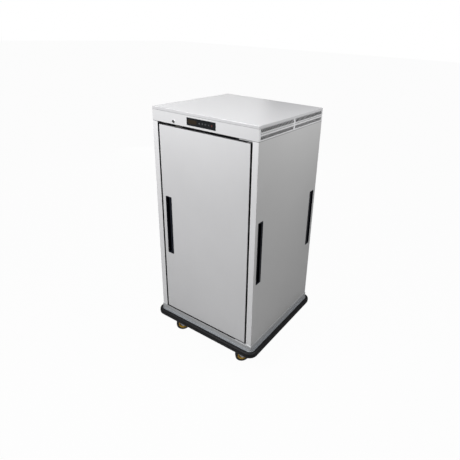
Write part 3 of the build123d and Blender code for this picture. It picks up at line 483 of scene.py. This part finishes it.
def finished_mesh(name, corners, faces, place=None, smooth=SMOOTH_ANGLE, join=JOIN):
    """A mesh with outward faces, smooth but for its sharp edges, at its place."""
    mesh = bpy.data.meshes.new(name)
    mesh.from_pydata([tuple(corner) for corner in corners], [], faces)
    work = bmesh.new()
    work.from_mesh(mesh)
    if join:
        bmesh.ops.remove_doubles(work, verts=work.verts, dist=join)
    bmesh.ops.recalc_face_normals(work, faces=work.faces)
    for edge in work.edges:
        edge.smooth = len(edge.link_faces) == 2 and edge.calc_face_angle() < math.radians(smooth)
    for face in work.faces:
        face.smooth = True
    work.to_mesh(mesh)
    work.free()
    if place is not None:
        mesh.transform(place)
    return mesh


def separate_mesh(name, corners, faces):
    """A mesh of closed shells that may touch, left unjoined."""
    return finished_mesh(name, corners, faces, smooth=SHARP_ANGLE, join=0)


def smooth_copy(name, mesh):
    """A copy of a made mesh, with outward faces and sharp edges marked."""
    corners = [vertex.co.copy() for vertex in mesh.vertices]
    return finished_mesh(name, corners, [tuple(face.vertices) for face in mesh.polygons])


def turned(name, outline, place, steps=72):
    """Spins a closed outline of (along, radius) points about X, then moves it by a matrix."""
    corners, faces = [], []
    count = len(outline)
    for step in range(steps):
        angle = 2 * math.pi * step / steps
        for along, radius in outline:
            corners.append((along, radius * math.cos(angle), radius * math.sin(angle)))
    for step in range(steps):
        near, far = step * count, (step + 1) % steps * count
        for index in range(count):
            other = (index + 1) % count
            faces.append((near + index, near + other, far + other, far + index))
    return finished_mesh(name, corners, faces, place)


print("mesh helpers ready")

# %% [markdown]
# Each caster wheel has a black tyre with a slightly crowned tread and two fine moulding lines, a
# yellow rim, and a dark hub. The outline of each is spun about the axle. The axle's place and
# direction come from the wheel's own joint, so the piece is true to the model.

# %% Caster wheels
TYRE = [  # along the axle, radius
    (-0.0128, 0.0346), (-0.0152, 0.0366), (-0.0159, 0.0420), (-0.0153, 0.0474), (-0.0132, 0.0492),
    (-0.0086, 0.0499), (-0.0082, 0.0494), (-0.0078, 0.0499), (0.0078, 0.0499), (0.0082, 0.0494),
    (0.0086, 0.0499), (0.0132, 0.0492), (0.0153, 0.0474), (0.0159, 0.0420), (0.0152, 0.0366),
    (0.0128, 0.0346), (0.0, 0.0342),
]
RIM = [
    (-0.0140, 0.0342), (-0.0145, 0.0336), (-0.0142, 0.0290), (-0.0126, 0.0256), (-0.0062, 0.0240),
    (-0.0046, 0.0226), (0.0046, 0.0226), (0.0062, 0.0240), (0.0126, 0.0256), (0.0142, 0.0290),
    (0.0145, 0.0336), (0.0140, 0.0342),
]
HUB = [
    (-0.0176, 0.0062), (-0.0179, 0.0120), (-0.0172, 0.0140), (-0.0150, 0.0150), (-0.0066, 0.0158),
    (-0.0044, 0.0190), (-0.0042, 0.0230), (0.0042, 0.0230), (0.0044, 0.0190), (0.0066, 0.0158),
    (0.0150, 0.0150), (0.0172, 0.0140), (0.0179, 0.0120), (0.0176, 0.0062),
]
CORNERS = ("front_left", "front_right", "rear_left", "rear_right")
moulded("hub_plastic", (0.05, 0.03, 0.028), 0.4, 1500.0)
for corner in CORNERS:
    body = f"wheel_{corner}"
    axle = joint_of[body]
    heading = Vector(axle["axis"]).to_track_quat("X", "Z").to_matrix().to_4x4()
    place = Matrix.Translation(axle["pos_m"]) @ heading
    tyre = new_piece(f"tyre_{corner}", turned(f"tyre_{corner}", TYRE, place), body, "caster_tyre")
    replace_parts(tyre, f"caster_tyre_{corner}")
    rim = new_piece(f"rim_{corner}", turned(f"rim_{corner}", RIM, place), body, "caster_yellow")
    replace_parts(rim, f"caster_rim_{corner}")
    hub = turned(f"hub_{corner}", HUB, place)
    new_piece(f"hub_{corner}", hub, body, "caster_yellow", "hub_plastic")
print("casters:", len(CORNERS), "tyres, rims and hubs")

# %% [markdown]
# Several pieces repeat or follow a path: the bumper, the vents' webs and the rear screws. Geometry
# Nodes make them. The helper below holds one such tree, its named inputs and the two nodes that it
# ends in, and turns its result into a plain mesh, because instances are lost in an export.

# %% Geometry tree helper


class GeometryTree:
    """A Geometry Nodes tree with named inputs, run and turned into a mesh."""

    def __init__(self, name, inputs):
        self.group = bpy.data.node_groups.new(name, "GeometryNodeTree")
        sockets = self.group.interface
        self.keys = {}
        for label, kind, value in inputs:
            socket = sockets.new_socket(name=label, in_out="INPUT", socket_type=f"NodeSocket{kind}")
            if value is not None:
                socket.default_value = value
            self.keys[label] = socket.identifier
        sockets.new_socket(name="Geometry", in_out="OUTPUT", socket_type="NodeSocketGeometry")
        self.start = self.group.nodes.new("NodeGroupInput")
        self.end = self.group.nodes.new("NodeGroupOutput")

    def size(self, label):
        """The socket of one named input."""
        return self.start.outputs[label]

    def node(self, kind, settings=None, inputs=None):
        """Adds a node: its settings first, then each input's value or link."""
        made = self.group.nodes.new(kind)
        for name, value in (settings or {}).items():
            setattr(made, name, value)
        for name, value in (inputs or {}).items():
            for part in value if isinstance(value, list) else [value]:
                if isinstance(part, bpy.types.NodeSocket):
                    self.group.links.new(part, made.inputs[name])
                else:
                    made.inputs[name].default_value = part
        return made

    def finish(self, geometry, material):
        """Ends the tree in Realize Instances and Set Material."""
        real = self.node("GeometryNodeRealizeInstances", inputs={"Geometry": geometry})
        worn = {"Geometry": real.outputs[0], "Material": material}
        coated = self.node("GeometryNodeSetMaterial", inputs=worn)
        self.group.links.new(coated.outputs[0], self.end.inputs[0])

    def mesh(self, name, values):
        """Runs the tree with these inputs and returns the plain mesh."""
        holder = bpy.data.objects.new(name, bpy.data.meshes.new(name))
        bpy.context.scene.collection.objects.link(holder)
        maker = holder.modifiers.new(name, "NODES")
        maker.node_group = self.group
        for label, value in values.items():
            maker[self.keys[label]] = value
        depsgraph = bpy.context.evaluated_depsgraph_get()
        made = bpy.data.meshes.new_from_object(holder.evaluated_get(depsgraph))
        bpy.data.objects.remove(holder)
        made.name = name
        return made


print("geometry tree helper ready")

# %% [markdown]
# The bumper is one rubber extrusion bent round the base. An extrusion follows a path, so a rounded
# rectangle is the path and the rubber's section is swept along it. The section has a groove along
# its top, which hides its fixings, and a ribbed outer face. A flat black band of painted shade lies
# on the groove's floor, so that it looks as dark as a deep one.

# %% The bumper
RUBBER = [  # outwards from the deck's edge, up from the bumper's middle
    (0.0003, -0.0188), (0.0100, -0.0189), (0.0165, -0.0176), (0.0205, -0.0142), (0.0219, -0.0102),
    (0.0221, -0.0066), (0.0209, -0.0054), (0.0221, -0.0042), (0.0229, 0.0000), (0.0221, 0.0042),
    (0.0209, 0.0054), (0.0221, 0.0066), (0.0219, 0.0110), (0.0207, 0.0150), (0.0186, 0.0176),
    (0.0160, 0.0187), (0.0138, 0.0178), (0.0126, 0.0150), (0.0120, 0.0060), (0.0104, 0.0034),
    (0.0040, 0.0034), (0.0026, 0.0060), (0.0022, 0.0150), (0.0003, 0.0156),
]
GROOVE_SHADE_BAND = [(0.0028, 0.0036), (0.0120, 0.0036), (0.0122, 0.0098), (0.0026, 0.0098)]
CORNER_RADIUS, CORNER_STEPS = 0.038, 14


def section_curve(outline):
    """A section as a closed curve: outwards along X, up along Y."""
    data = bpy.data.curves.new("bumper_section", "CURVE")
    data.dimensions = "3D"
    line = data.splines.new("POLY")
    line.points.add(len(outline) - 1)
    for point, (out, up) in zip(line.points, outline):
        point.co = (out, up, 0, 1)
    line.use_cyclic_u = True
    shape = bpy.data.objects.new("bumper_section", data)
    bpy.context.scene.collection.objects.link(shape)
    return shape


def sweep_tree(material):
    """A tree that sweeps a section round the deck's edge."""
    low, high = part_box("base_frame")
    rubber_low, rubber_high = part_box("bumper")
    tree = GeometryTree(
        "swept_bumper",
        [
            ("Width", "Float", high.x - low.x),
            ("Depth", "Float", high.y - low.y),
            ("Corner", "Float", CORNER_RADIUS),
            ("Height", "Float", (rubber_low.z + rubber_high.z) / 2),
            ("Section", "Object", None),
        ],
    )
    path = tree.node(
        "GeometryNodeCurvePrimitiveQuadrilateral",
        inputs={"Width": tree.size("Width"), "Height": tree.size("Depth")},
    )
    rounded = tree.node(
        "GeometryNodeFilletCurve",
        {"mode": "POLY"},
        {"Curve": path.outputs[0], "Radius": tree.size("Corner"), "Count": CORNER_STEPS},
    )
    shape = tree.node("GeometryNodeObjectInfo", inputs={"Object": tree.size("Section")})
    section = shape.outputs["Geometry"]
    swept = tree.node(
        "GeometryNodeCurveToMesh",
        inputs={"Curve": rounded.outputs[0], "Profile Curve": section, "Fill Caps": False},
    )
    lift = tree.node("ShaderNodeCombineXYZ", inputs={"Z": tree.size("Height")})
    raised = tree.node(
        "GeometryNodeTransform", inputs={"Geometry": swept.outputs[0], "Translation": lift.outputs[0]}
    )
    tree.finish(raised.outputs[0], material)
    return tree


def swept_piece(name, outline, finish):
    """A piece of the cabinet, swept from a section."""
    section = section_curve(outline)
    swept = sweep_tree(finishes[finish]).mesh(name, {"Section": section})
    bpy.data.objects.remove(section)
    return new_piece(name, smooth_copy(name, swept), "cabinet", "black_bumper", finish)


bumper = swept_piece("bumper_rubber", RUBBER, "black_bumper")
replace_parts(bumper, "bumper")
# Painted shade: a black band on the groove's floor.
moulded("groove_painted_shade", (0.003, 0.003, 0.003), 0.8, 900.0, sheen=0.05)
swept_piece("bumper_channel", GROOVE_SHADE_BAND, "groove_painted_shade")
print("bumper:", len(bumper.data.polygons), "faces")

# %% [markdown]
# Flat strips and plates make up much of the trim. Each is a plain box, and a few have their edges
# broken, so one helper turns a list of boxes in metres into a single mesh of closed shells. A cube
# object for each would do the same with many more objects to join.

# %% Boxes


def box_mesh(name, boxes, edge=0.0):
    """One mesh of closed boxes, each given by its low and high corner."""
    corners, faces = [], []
    sides = ((0, 2, 3, 1), (4, 5, 7, 6), (0, 1, 5, 4), (2, 6, 7, 3), (0, 4, 6, 2), (1, 3, 7, 5))
    for box in boxes:
        first = len(corners)
        for index in range(8):
            corners.append(tuple(box[index >> axis & 1][axis] for axis in range(3)))
        faces += [tuple(first + corner for corner in side) for side in sides]
    mesh = separate_mesh(name, corners, faces)
    if edge:
        work = bmesh.new()
        work.from_mesh(mesh)
        rims = work.edges[:]
        bmesh.ops.bevel(work, geom=rims, offset=edge, segments=2, affect="EDGES", clamp_overlap=True)
        work.to_mesh(mesh)
        work.free()
    return mesh


print("boxes ready")

# %% [markdown]
# The gap round the door reads as a solid black line. Black strips on the opening and on the door's
# edges are painted shade, which makes the gap that dark. Thin boxes along each wall of the gap do for
# the opening's share. Its top strip is narrower over the slot of the lock's tongue, and all keep
# clear of the pivots' plates.

# %% Black strips of painted shade on the opening
HALF_OPENING = 0.3625
STRIP = 0.0005
FRONT_SETBACK, BACK_SETBACK = 0.0018, 0.003
PLATE_HEIGHT, PLATE_CLEAR = 0.0062, 0.001
slot_left, slot_right, SLOT_FRONT = -0.2375, -0.1795, -0.3645
skin_low, skin_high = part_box("door_skin")
plates_low, plates_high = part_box("hinge_brackets")
near, far = skin_low.y + FRONT_SETBACK, skin_high.y - BACK_SETBACK
plate_side = plates_low.x - PLATE_CLEAR
sill, head = plates_low.z, plates_high.z
gap_shade_boxes = [
    ((-HALF_OPENING, near, sill), (-HALF_OPENING + STRIP, far, head)),
    ((HALF_OPENING - STRIP, near, sill + PLATE_HEIGHT), (HALF_OPENING, far, head - PLATE_HEIGHT)),
    ((-HALF_OPENING + STRIP, near, sill), (plate_side, far, sill + STRIP)),
    ((-HALF_OPENING + STRIP, near, head - STRIP), (slot_left, far, head)),
    ((slot_left, near, head - STRIP), (slot_right, SLOT_FRONT, head)),
    ((slot_right, near, head - STRIP), (plate_side, far, head)),
]
# Painted shade: black for the strips in the door's gap; the lock's black collar and key slot use it too.
moulded("black_collar_and_painted_shade", (0.006, 0.006, 0.007), 0.55, 1300.0, sheen=0.2)
strips = box_mesh("opening_strips", gap_shade_boxes)
new_piece("opening_strips", strips, "cabinet", "gasket_rubber", "black_collar_and_painted_shade")
print("opening:", len(gap_shade_boxes), "strips")

# %% [markdown]
# The door carries its own black strips of painted shade on all four edges, and they turn a few
# millimetres over its front face, which makes the black line as wide as it looks. They ride on the
# door, so that the line opens into two when the door does.

# %% Black strips of painted shade on the door
PIVOT_CLEAR = 0.026
SIDE_FACE, HEAD_FACE, SILL_FACE = 0.0020, 0.0030, 0.0022
PROUD, SUNK = 0.00015, 0.0004
left, right, low, high = skin_low.x, skin_high.x, skin_low.z, skin_high.z
pivot_side = right - PIVOT_CLEAR
door_shade_boxes = [
    ((left - STRIP, near, low), (left, far, high)),
    ((right, near, low), (right + STRIP, far, high)),
    ((left, near, low - STRIP), (pivot_side, far, low)),
    ((left, near, high), (slot_left, far, high + STRIP)),
    ((slot_left, near, high), (slot_right, SLOT_FRONT, high + STRIP)),
    ((slot_right, near, high), (pivot_side, far, high + STRIP)),
]
face, behind = skin_low.y - PROUD, skin_low.y + SUNK
door_shade_boxes += [
    ((left, face, low), (left + SIDE_FACE, behind, high)),
    ((right - SIDE_FACE, face, low), (right, behind, high)),
    ((left + SIDE_FACE, face, high - HEAD_FACE), (right - SIDE_FACE, behind, high)),
    ((left + SIDE_FACE, face, low), (right - SIDE_FACE, behind, low + SILL_FACE)),
]
# Painted shade along the door's edges.
strips = box_mesh("door_edge_strips", door_shade_boxes)
new_piece("door_edge_strips", strips, "door", "gasket_rubber", "black_collar_and_painted_shade")
print("door edge:", len(door_shade_boxes), "strips")

# %% [markdown]
# Behind the slots of the head stands one thin black sheet on each vented side: painted shade,
# which makes the slots look black from outside.

# %% Painted shade behind the vents
SHADE_SET, SHADE_THICKNESS = 0.0032, 0.0006
SHADE_FRONT, SHADE_REAR, SHADE_FOOT, SHADE_TOP = 0.002, 0.003, 0.0025, 0.001
# Painted shade: a black sheet behind each vented side's slots.
moulded("vent_painted_shade", (0.006, 0.006, 0.006), 0.7, 900.0, sheen=0.1)
panel_low, panel_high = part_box("right_vent_panel")
shade_x = panel_low.x - SHADE_SET
front, rear = panel_low.y + SHADE_FRONT, panel_high.y - SHADE_REAR
foot, top = panel_low.z + SHADE_FOOT, panel_high.z - SHADE_TOP
shade_sheets = []
for sign in (-1, 1):
    inner, outer = sorted((sign * shade_x, sign * (shade_x - SHADE_THICKNESS)))
    shade_sheets.append(((inner, front, foot), (outer, rear, top)))
sheets = box_mesh("vent_screens", shade_sheets)
new_piece("vent_screens", sheets, "cabinet", "vent_steel", "vent_painted_shade")
print("head:", len(shade_sheets), "shade_sheets")

# %% [markdown]
# A dark line of painted shade marks the joint between the head and the cabinet, and another the
# shadow line under the lid. Each is three thin boxes, along the front and both sides, a hair proud
# of the sheet or a hair inside the lid's edge.

# %% Painted shade at the head's joints
SEAM_HALF, SEAM_PROUD, SEAM_INSET = 0.0011, 0.00015, 0.0004
LIP_FOOT, LIP_TOP, LIP_DEPTH = 0.0003, 0.0012, 0.001
# Painted shade: the dark of the head's joint and of the lid's shadow line.
moulded("seam_painted_shade", (0.05, 0.05, 0.052), 0.6, 1200.0, sheen=0.2)
lid_low, lid_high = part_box("top_lid")
side, front, rear = lid_high.x, lid_low.y, lid_high.y - LIP_DEPTH
out, inside = side + SEAM_PROUD, side - SEAM_INSET
foot, top = panel_low.z - SEAM_HALF, panel_low.z + SEAM_HALF
lip_foot, lip_top = lid_low.z + LIP_FOOT, lid_low.z + LIP_TOP
seam_shades = [
    ((-out, front - SEAM_PROUD, foot), (out, front, top)),
    ((side, front, foot), (out, rear, top)),
    ((-out, front, foot), (-side, rear, top)),
    ((-inside, front + SEAM_INSET, lip_foot), (inside, front + LIP_DEPTH, lip_top)),
    ((side - LIP_DEPTH, front + LIP_DEPTH, lip_foot), (inside, rear, lip_top)),
    ((-inside, front + LIP_DEPTH, lip_foot), (LIP_DEPTH - side, rear, lip_top)),
]
lines = box_mesh("head_seals", seam_shades)
new_piece("head_seals", lines, "cabinet", "gasket_rubber", "seam_painted_shade")
print("head:", len(seam_shades), "seam_shades")

# %% [markdown]
# Each side of the head is a vented panel with two banks of louvre slots: a row that leans one way,
# a row of small square holes, and a row that leans the other way. The slots repeat at one pitch, so
# Geometry Nodes set one slanted web on a line of points for each row. Slots cut out of one plate
# would leave large faces with many corners, which shade badly.

# %% Webs between the slots
PITCH, SLOTS = 0.0162, 22


def web_row():
    """A tree that sets slanted webs along one row of one bank."""
    tree = GeometryTree(
        "web_row",
        [
            ("Slots", "Int", SLOTS),
            ("Pitch", "Float", PITCH),
            ("Start", "Vector", (0.0, 0.0, 0.0)),
            ("Web", "Vector", (0.001, 0.006, 0.02)),
            ("Lean", "Float", 0.0),
        ],
    )
    count = tree.node("ShaderNodeMath", {"operation": "ADD"}, {0: tree.size("Slots"), 1: 1.0})
    step = tree.node("ShaderNodeCombineXYZ", inputs={"Y": tree.size("Pitch")})
    line = tree.node(
        "GeometryNodeMeshLine",
        {"mode": "OFFSET"},
        {"Count": count.outputs[0], "Start Location": tree.size("Start"), "Offset": step.outputs[0]},
    )
    bar = tree.node("GeometryNodeMeshCube", inputs={"Size": tree.size("Web")})
    turn = tree.node("ShaderNodeCombineXYZ", inputs={"X": tree.size("Lean")})
    leaning = tree.node(
        "GeometryNodeInstanceOnPoints",
        inputs={"Points": line.outputs[0], "Instance": bar.outputs[0], "Rotation": turn.outputs[0]},
    )
    tree.finish(leaning.outputs[0], finishes["vent_steel"])
    return tree


row_tree = web_row()
print("web row:", SLOTS + 1, "webs at", PITCH * 1000, "mm")

# %% [markdown]
# Plain rails above, between and below the rows, and posts at the ends of each bank, join the webs
# into one panel. The webs run a little way into the rails, and sit a hair behind their faces, so
# that no two faces lie in one plane.

# %% Vent grilles
BANK = 0.1885
SHEET, WEB_SET = 0.0012, 0.00006
LEAN_LAP, PLAIN_LAP = 0.0035, 0.002
ROWS = (  # lowest, highest, lean in degrees, web's thickness
    (0.0090, 0.0285, -38.0, 0.0032),
    (0.0366, 0.0428, 0.0, 0.0084),
    (0.0482, 0.0688, 38.0, 0.0032),
)


def grille_rails(low, high, half):
    """Boxes of one panel's rails and posts."""
    rails, edge = [], low.z
    for lowest, highest, lean, web in ROWS:
        rails.append(((low.x, low.y, edge), (high.x, high.y, low.z + lowest)))
        edge = low.z + highest
    rails.append(((low.x, low.y, edge), (high.x, high.y, high.z)))
    posts = ((low.y, -BANK - half), (-BANK + half, BANK - half), (BANK + half, high.y))
    for lowest, highest, lean, web in ROWS:
        for start, end in posts:
            rails.append(((low.x, start, low.z + lowest), (high.x, end, low.z + highest)))
    return rails


def grille_mesh(name, node):
    """Rails as boxes, and the webs of both banks and all three rows between them."""
    low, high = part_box(node)
    half = SLOTS * PITCH / 2
    panel = box_mesh(name, grille_rails(low, high, half))
    corners, faces = [], []
    for lowest, highest, lean, web in ROWS:
        angle = math.radians(lean)
        tall = (highest - lowest) / math.cos(angle) - web * abs(math.tan(angle))
        tall += LEAN_LAP if lean else PLAIN_LAP
        size = (SHEET - 2 * WEB_SET, web, tall)
        for bank in (-BANK, BANK):
            start = ((low.x + high.x) / 2, bank - half, low.z + (lowest + highest) / 2)
            row = row_tree.mesh("web_row", {"Start": start, "Web": size, "Lean": angle})
            first = len(corners)
            corners += [vertex.co.copy() for vertex in row.vertices]
            faces += [tuple(first + corner for corner in face.vertices) for face in row.polygons]
    webs = separate_mesh("webs", corners, faces)
    work = bmesh.new()
    work.from_mesh(panel)
    work.from_mesh(webs)
    work.to_mesh(panel)
    work.free()
    return panel


for hand in ("left", "right"):
    node = f"{hand}_vent_panel"
    grille = grille_mesh(f"{hand}_grille", node)
    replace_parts(new_piece(f"{hand}_grille", grille, "cabinet", "vent_steel"), node)
    print(hand, "grille:", len(grille.polygons), "faces")

# %% [markdown]
# The control display is a glossy black bar with a dim brown window for the digits at its left. The
# window is a thin pane with its edges broken, a hair proud of the bar, so that it catches the light
# as a separate pane does. A change of colour alone would look printed.

# %% Display window
WINDOW_ACROSS, WINDOW_UP = (0.010, 0.078), (0.011, 0.035)
PANE_PROUD, PANE_SUNK, PANE_EDGE = 0.0003, 0.0002, 0.0001
moulded("window_glass", (0.020, 0.015, 0.010), 0.2, 2600.0, 0.00001, 0.05, 0.2)
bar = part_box("display_module")[0]
pane = (
    (bar.x + WINDOW_ACROSS[0], bar.y - PANE_PROUD, bar.z + WINDOW_UP[0]),
    (bar.x + WINDOW_ACROSS[1], bar.y + PANE_SUNK, bar.z + WINDOW_UP[1]),
)
window = box_mesh("display_window", [pane], PANE_EDGE)
new_piece("display_window", window, "cabinet", "display_plastic", "window_glass")
print("display: window", [round(a - b, 3) for a, b in zip(pane[1], pane[0])])

# %% [markdown]
# Five soft keys stand to the right of the window, with plain symbols: power, clock, down, up and
# heat. Real ones are printed or moulded in. Each symbol is drawn here as ribbons of one line width
# along short paths, which is less work than tracing outlines and can't leave gaps.

# %% Key symbols as plans
LINE, BOLD_LINE = 0.0009, 0.0009 * 1.3
RING = 0.0032
CHEVRON_ACROSS, CHEVRON_LOW, CHEVRON_HIGH = 0.003, 0.0015, 0.0017
POWER_BAR = [(0, 0.0012), (0, 0.0042)]
CLOCK_HANDS = [(0, 0.0022), (0, 0), (0.0015, -0.0008)]
WAVE_SWING, WAVE_STEP, WAVE_HALF, WAVE_STEPS = 0.0006, 0.0024, 0.003, 12


def ribbon(path, width=LINE):
    """Plan quads along a path of (across, up) points, with square ends."""
    quads = []
    for (x0, z0), (x1, z1) in zip(path, path[1:]):
        length = math.hypot(x1 - x0, z1 - z0)
        nx, nz = -(z1 - z0) / length * width / 2, (x1 - x0) / length * width / 2
        quads.append([(x0 + nx, z0 + nz), (x0 - nx, z0 - nz), (x1 - nx, z1 - nz), (x1 + nx, z1 + nz)])
    return quads


def arc(radius, start, end, steps):
    """Points on an arc, in degrees from +X towards up."""
    angles = [math.radians(start + (end - start) * step / steps) for step in range(steps + 1)]
    return [(radius * math.cos(angle), radius * math.sin(angle)) for angle in angles]


def chevron(sign):
    """An arrowhead that points down for 1 and up for -1."""
    side = sign * CHEVRON_LOW
    tip = -sign * CHEVRON_HIGH
    return ribbon([(-CHEVRON_ACROSS, side), (0, tip), (CHEVRON_ACROSS, side)], BOLD_LINE)


def wave(middle):
    """One rising line of warm air."""
    return ribbon([
        (
            middle + WAVE_SWING * math.sin(step * math.pi / 4),
            -WAVE_HALF + step * 2 * WAVE_HALF / WAVE_STEPS,
        )
        for step in range(WAVE_STEPS + 1)
    ])


SYMBOLS = {
    "power": ribbon(arc(RING, 125, 415, 20)) + ribbon(POWER_BAR),
    "timer": ribbon(arc(RING, 0, 360, 24)) + ribbon(CLOCK_HANDS),
    "down": chevron(1),
    "up": chevron(-1),
    "heat": wave(-WAVE_STEP) + wave(0.0) + wave(WAVE_STEP),
}
print("symbols:", {key: len(quads) for key, quads in SYMBOLS.items()})

# %% [markdown]
# Each plan becomes a thin raised shape that stands a tenth of a millimetre proud of its key. It
# rides on the key, so it moves in when the key is pressed.

# %% Key symbols
SYMBOL_PROUD, SYMBOL_SUNK = 0.00012, 0.00008
moulded("symbol_print", (0.20, 0.21, 0.22), 0.45, 2200.0, sheen=0.2)
moulded("symbol_red", (0.28, 0.05, 0.035), 0.45, 2200.0, sheen=0.2)


def symbol_mesh(name, quads, cap_low, cap_high):
    """Plan quads as closed slabs on a key's face."""
    middle_x, middle_z = (cap_low.x + cap_high.x) / 2, (cap_low.z + cap_high.z) / 2
    corners, faces = [], []
    for quad in quads:
        first = len(corners)
        for y in (cap_low.y - SYMBOL_PROUD, cap_low.y + SYMBOL_SUNK):
            corners += [(middle_x + x, y, middle_z + z) for x, z in quad]
        faces.append(tuple(first + step for step in range(4)))
        faces.append(tuple(first + 7 - step for step in range(4)))
        for step in range(4):
            after = (step + 1) % 4
            faces.append((first + step, first + step + 4, first + after + 4, first + after))
    return separate_mesh(name, corners, faces)


for key, quads in SYMBOLS.items():
    name = f"symbol_key_{key}"
    slot, finish = "key_plastic", "symbol_print"
    if key == "heat":
        slot, finish = "key_red_plastic", "symbol_red"
    mesh = symbol_mesh(name, quads, *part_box(f"key_{key}"))
    new_piece(name, mesh, f"{key}_key", slot, finish)
print("keys:", len(SYMBOLS), "symbols")

# %% [markdown]
# The lock is a small round cam lock. Its black collar makes it readable from a distance, and the
# key's slot shows as a dark line across the turning barrel. The collar is turned like the tyres;
# the slot is a small dark box of painted shade that rides on the barrel and turns with it.

# %% Lock collar and the key slot's painted shade
COLLAR = [(0.0, 0.0064), (0.0, 0.0098), (-0.0004, 0.0094), (-0.0006, 0.0080), (-0.0004, 0.0068)]
COLLAR_STEPS = 48
SLIT_HALF_WIDTH, SLIT_HALF_HEIGHT, SLIT_PROUD, SLIT_SUNK = 0.0007, 0.0034, 0.0001, 0.0004
middle_x, _, middle_z = joint_of["lock"]["pos_m"]
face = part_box("lock_housing")[0].y
place = Matrix.Translation((middle_x, face, middle_z)) @ Matrix.Rotation(math.pi / 2, 4, "Z")
collar = turned("lock_ring", COLLAR, place, COLLAR_STEPS)
new_piece("lock_ring", collar, "cabinet", "lock_chrome", "black_collar_and_painted_shade")
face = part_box("lock_barrel")[0].y
# Painted shade of the keyway, a dark box on the barrel.
slot_shade_box = (
    (middle_x - SLIT_HALF_WIDTH, face - SLIT_PROUD, middle_z - SLIT_HALF_HEIGHT),
    (middle_x + SLIT_HALF_WIDTH, face + SLIT_SUNK, middle_z + SLIT_HALF_HEIGHT),
)
new_piece("keyway", box_mesh("keyway", [slot_shade_box]), "lock", "lock_chrome", "black_collar_and_painted_shade")
print("lock: collar and key slot")

# %% [markdown]
# The rear panel is held by two columns of pan-head screws with cross recesses. They are alike and
# evenly spaced, which is work for Geometry Nodes: one screw, made of a flattened ball with a cross
# cut into it, is set on a grid of points whose counts and spacing are the tree's inputs.

# %% Rear panel screws
HEAD_RADIUS, HEAD_HEIGHT = 0.0045, 0.0024
SCREW_COLUMNS, SCREW_ROWS = 2, 6
CROSS_LONG, CROSS_WIDE, CROSS_TALL, CROSS_LIFT = 0.0046, 0.0009, 0.0032, 0.0026


def cross_head(tree):
    """The socket of one screw head, domed and with a cross cut into its top."""
    ball = tree.node(
        "GeometryNodeMeshUVSphere",
        inputs={"Segments": 28, "Rings": 14, "Radius": tree.size("Head radius")},
    )
    flatness = {0: tree.size("Head height"), 1: tree.size("Head radius")}
    squash = tree.node("ShaderNodeMath", {"operation": "DIVIDE"}, flatness)
    scale = tree.node("ShaderNodeCombineXYZ", inputs={"X": 1.0, "Y": 1.0, "Z": squash.outputs[0]})
    dome = tree.node(
        "GeometryNodeTransform", inputs={"Geometry": ball.outputs[0], "Scale": scale.outputs[0]}
    )
    cuts = []
    for size in ((CROSS_LONG, CROSS_WIDE, CROSS_TALL), (CROSS_WIDE, CROSS_LONG, CROSS_TALL)):
        cutter = tree.node("GeometryNodeMeshCube", inputs={"Size": size})
        raised = {"Geometry": cutter.outputs[0], "Translation": (0, 0, CROSS_LIFT)}
        cuts.append(tree.node("GeometryNodeTransform", inputs=raised).outputs[0])
    cut = tree.node(
        "GeometryNodeMeshBoolean",
        {"operation": "DIFFERENCE", "solver": "EXACT"},
        {"Mesh 1": dome.outputs[0], "Mesh 2": cuts},
    )
    return cut.outputs[0]


def screw_grid():
    """Pan-head screws on a grid that stands in the XZ plane."""
    low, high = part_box("panel_screws")
    tree = GeometryTree(
        "screw_grid",
        [
            ("Across", "Float", high.x - low.x - 2 * HEAD_RADIUS),
            ("Tall", "Float", high.z - low.z - 2 * HEAD_RADIUS),
            ("Columns", "Int", SCREW_COLUMNS),
            ("Rows", "Int", SCREW_ROWS),
            ("Head radius", "Float", HEAD_RADIUS),
            ("Head height", "Float", HEAD_HEIGHT),
            ("Face", "Float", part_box("rear_panel")[1].y),
            ("Middle height", "Float", (low.z + high.z) / 2),
        ],
    )
    grid = tree.node(
        "GeometryNodeMeshGrid",
        inputs={
            "Size X": tree.size("Across"), "Size Y": tree.size("Tall"),
            "Vertices X": tree.size("Columns"), "Vertices Y": tree.size("Rows"),
        },
    )
    placed = tree.node(
        "GeometryNodeInstanceOnPoints",
        inputs={"Points": grid.outputs[0], "Instance": cross_head(tree)},
    )
    lift = tree.node(
        "ShaderNodeCombineXYZ", inputs={"Y": tree.size("Face"), "Z": tree.size("Middle height")}
    )
    stand = {
        "Geometry": placed.outputs[0],
        "Translation": lift.outputs[0],
        "Rotation": (-math.pi / 2, 0, 0),
    }
    standing = tree.node("GeometryNodeTransform", inputs=stand)
    tree.finish(standing.outputs[0], finishes["zinc_screws"])
    return tree.mesh("rear_screws", {})


screws = smooth_copy("rear_screws", screw_grid())
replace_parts(new_piece("rear_screws", screws, "cabinet", "zinc_screws"), "panel_screws")
print("screws:", len(screws.polygons), "faces")

# %% [markdown]
# Both boxes are printed: the imported model's own, and that of everything shown. The
# finished pieces have to stay inside the imported model's own box.

seen_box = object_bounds()
for label, box in (("cad", cad_box), ("visual", seen_box)):
    print(label, "box:", [round(value, 4) for corner in box for value in corner])
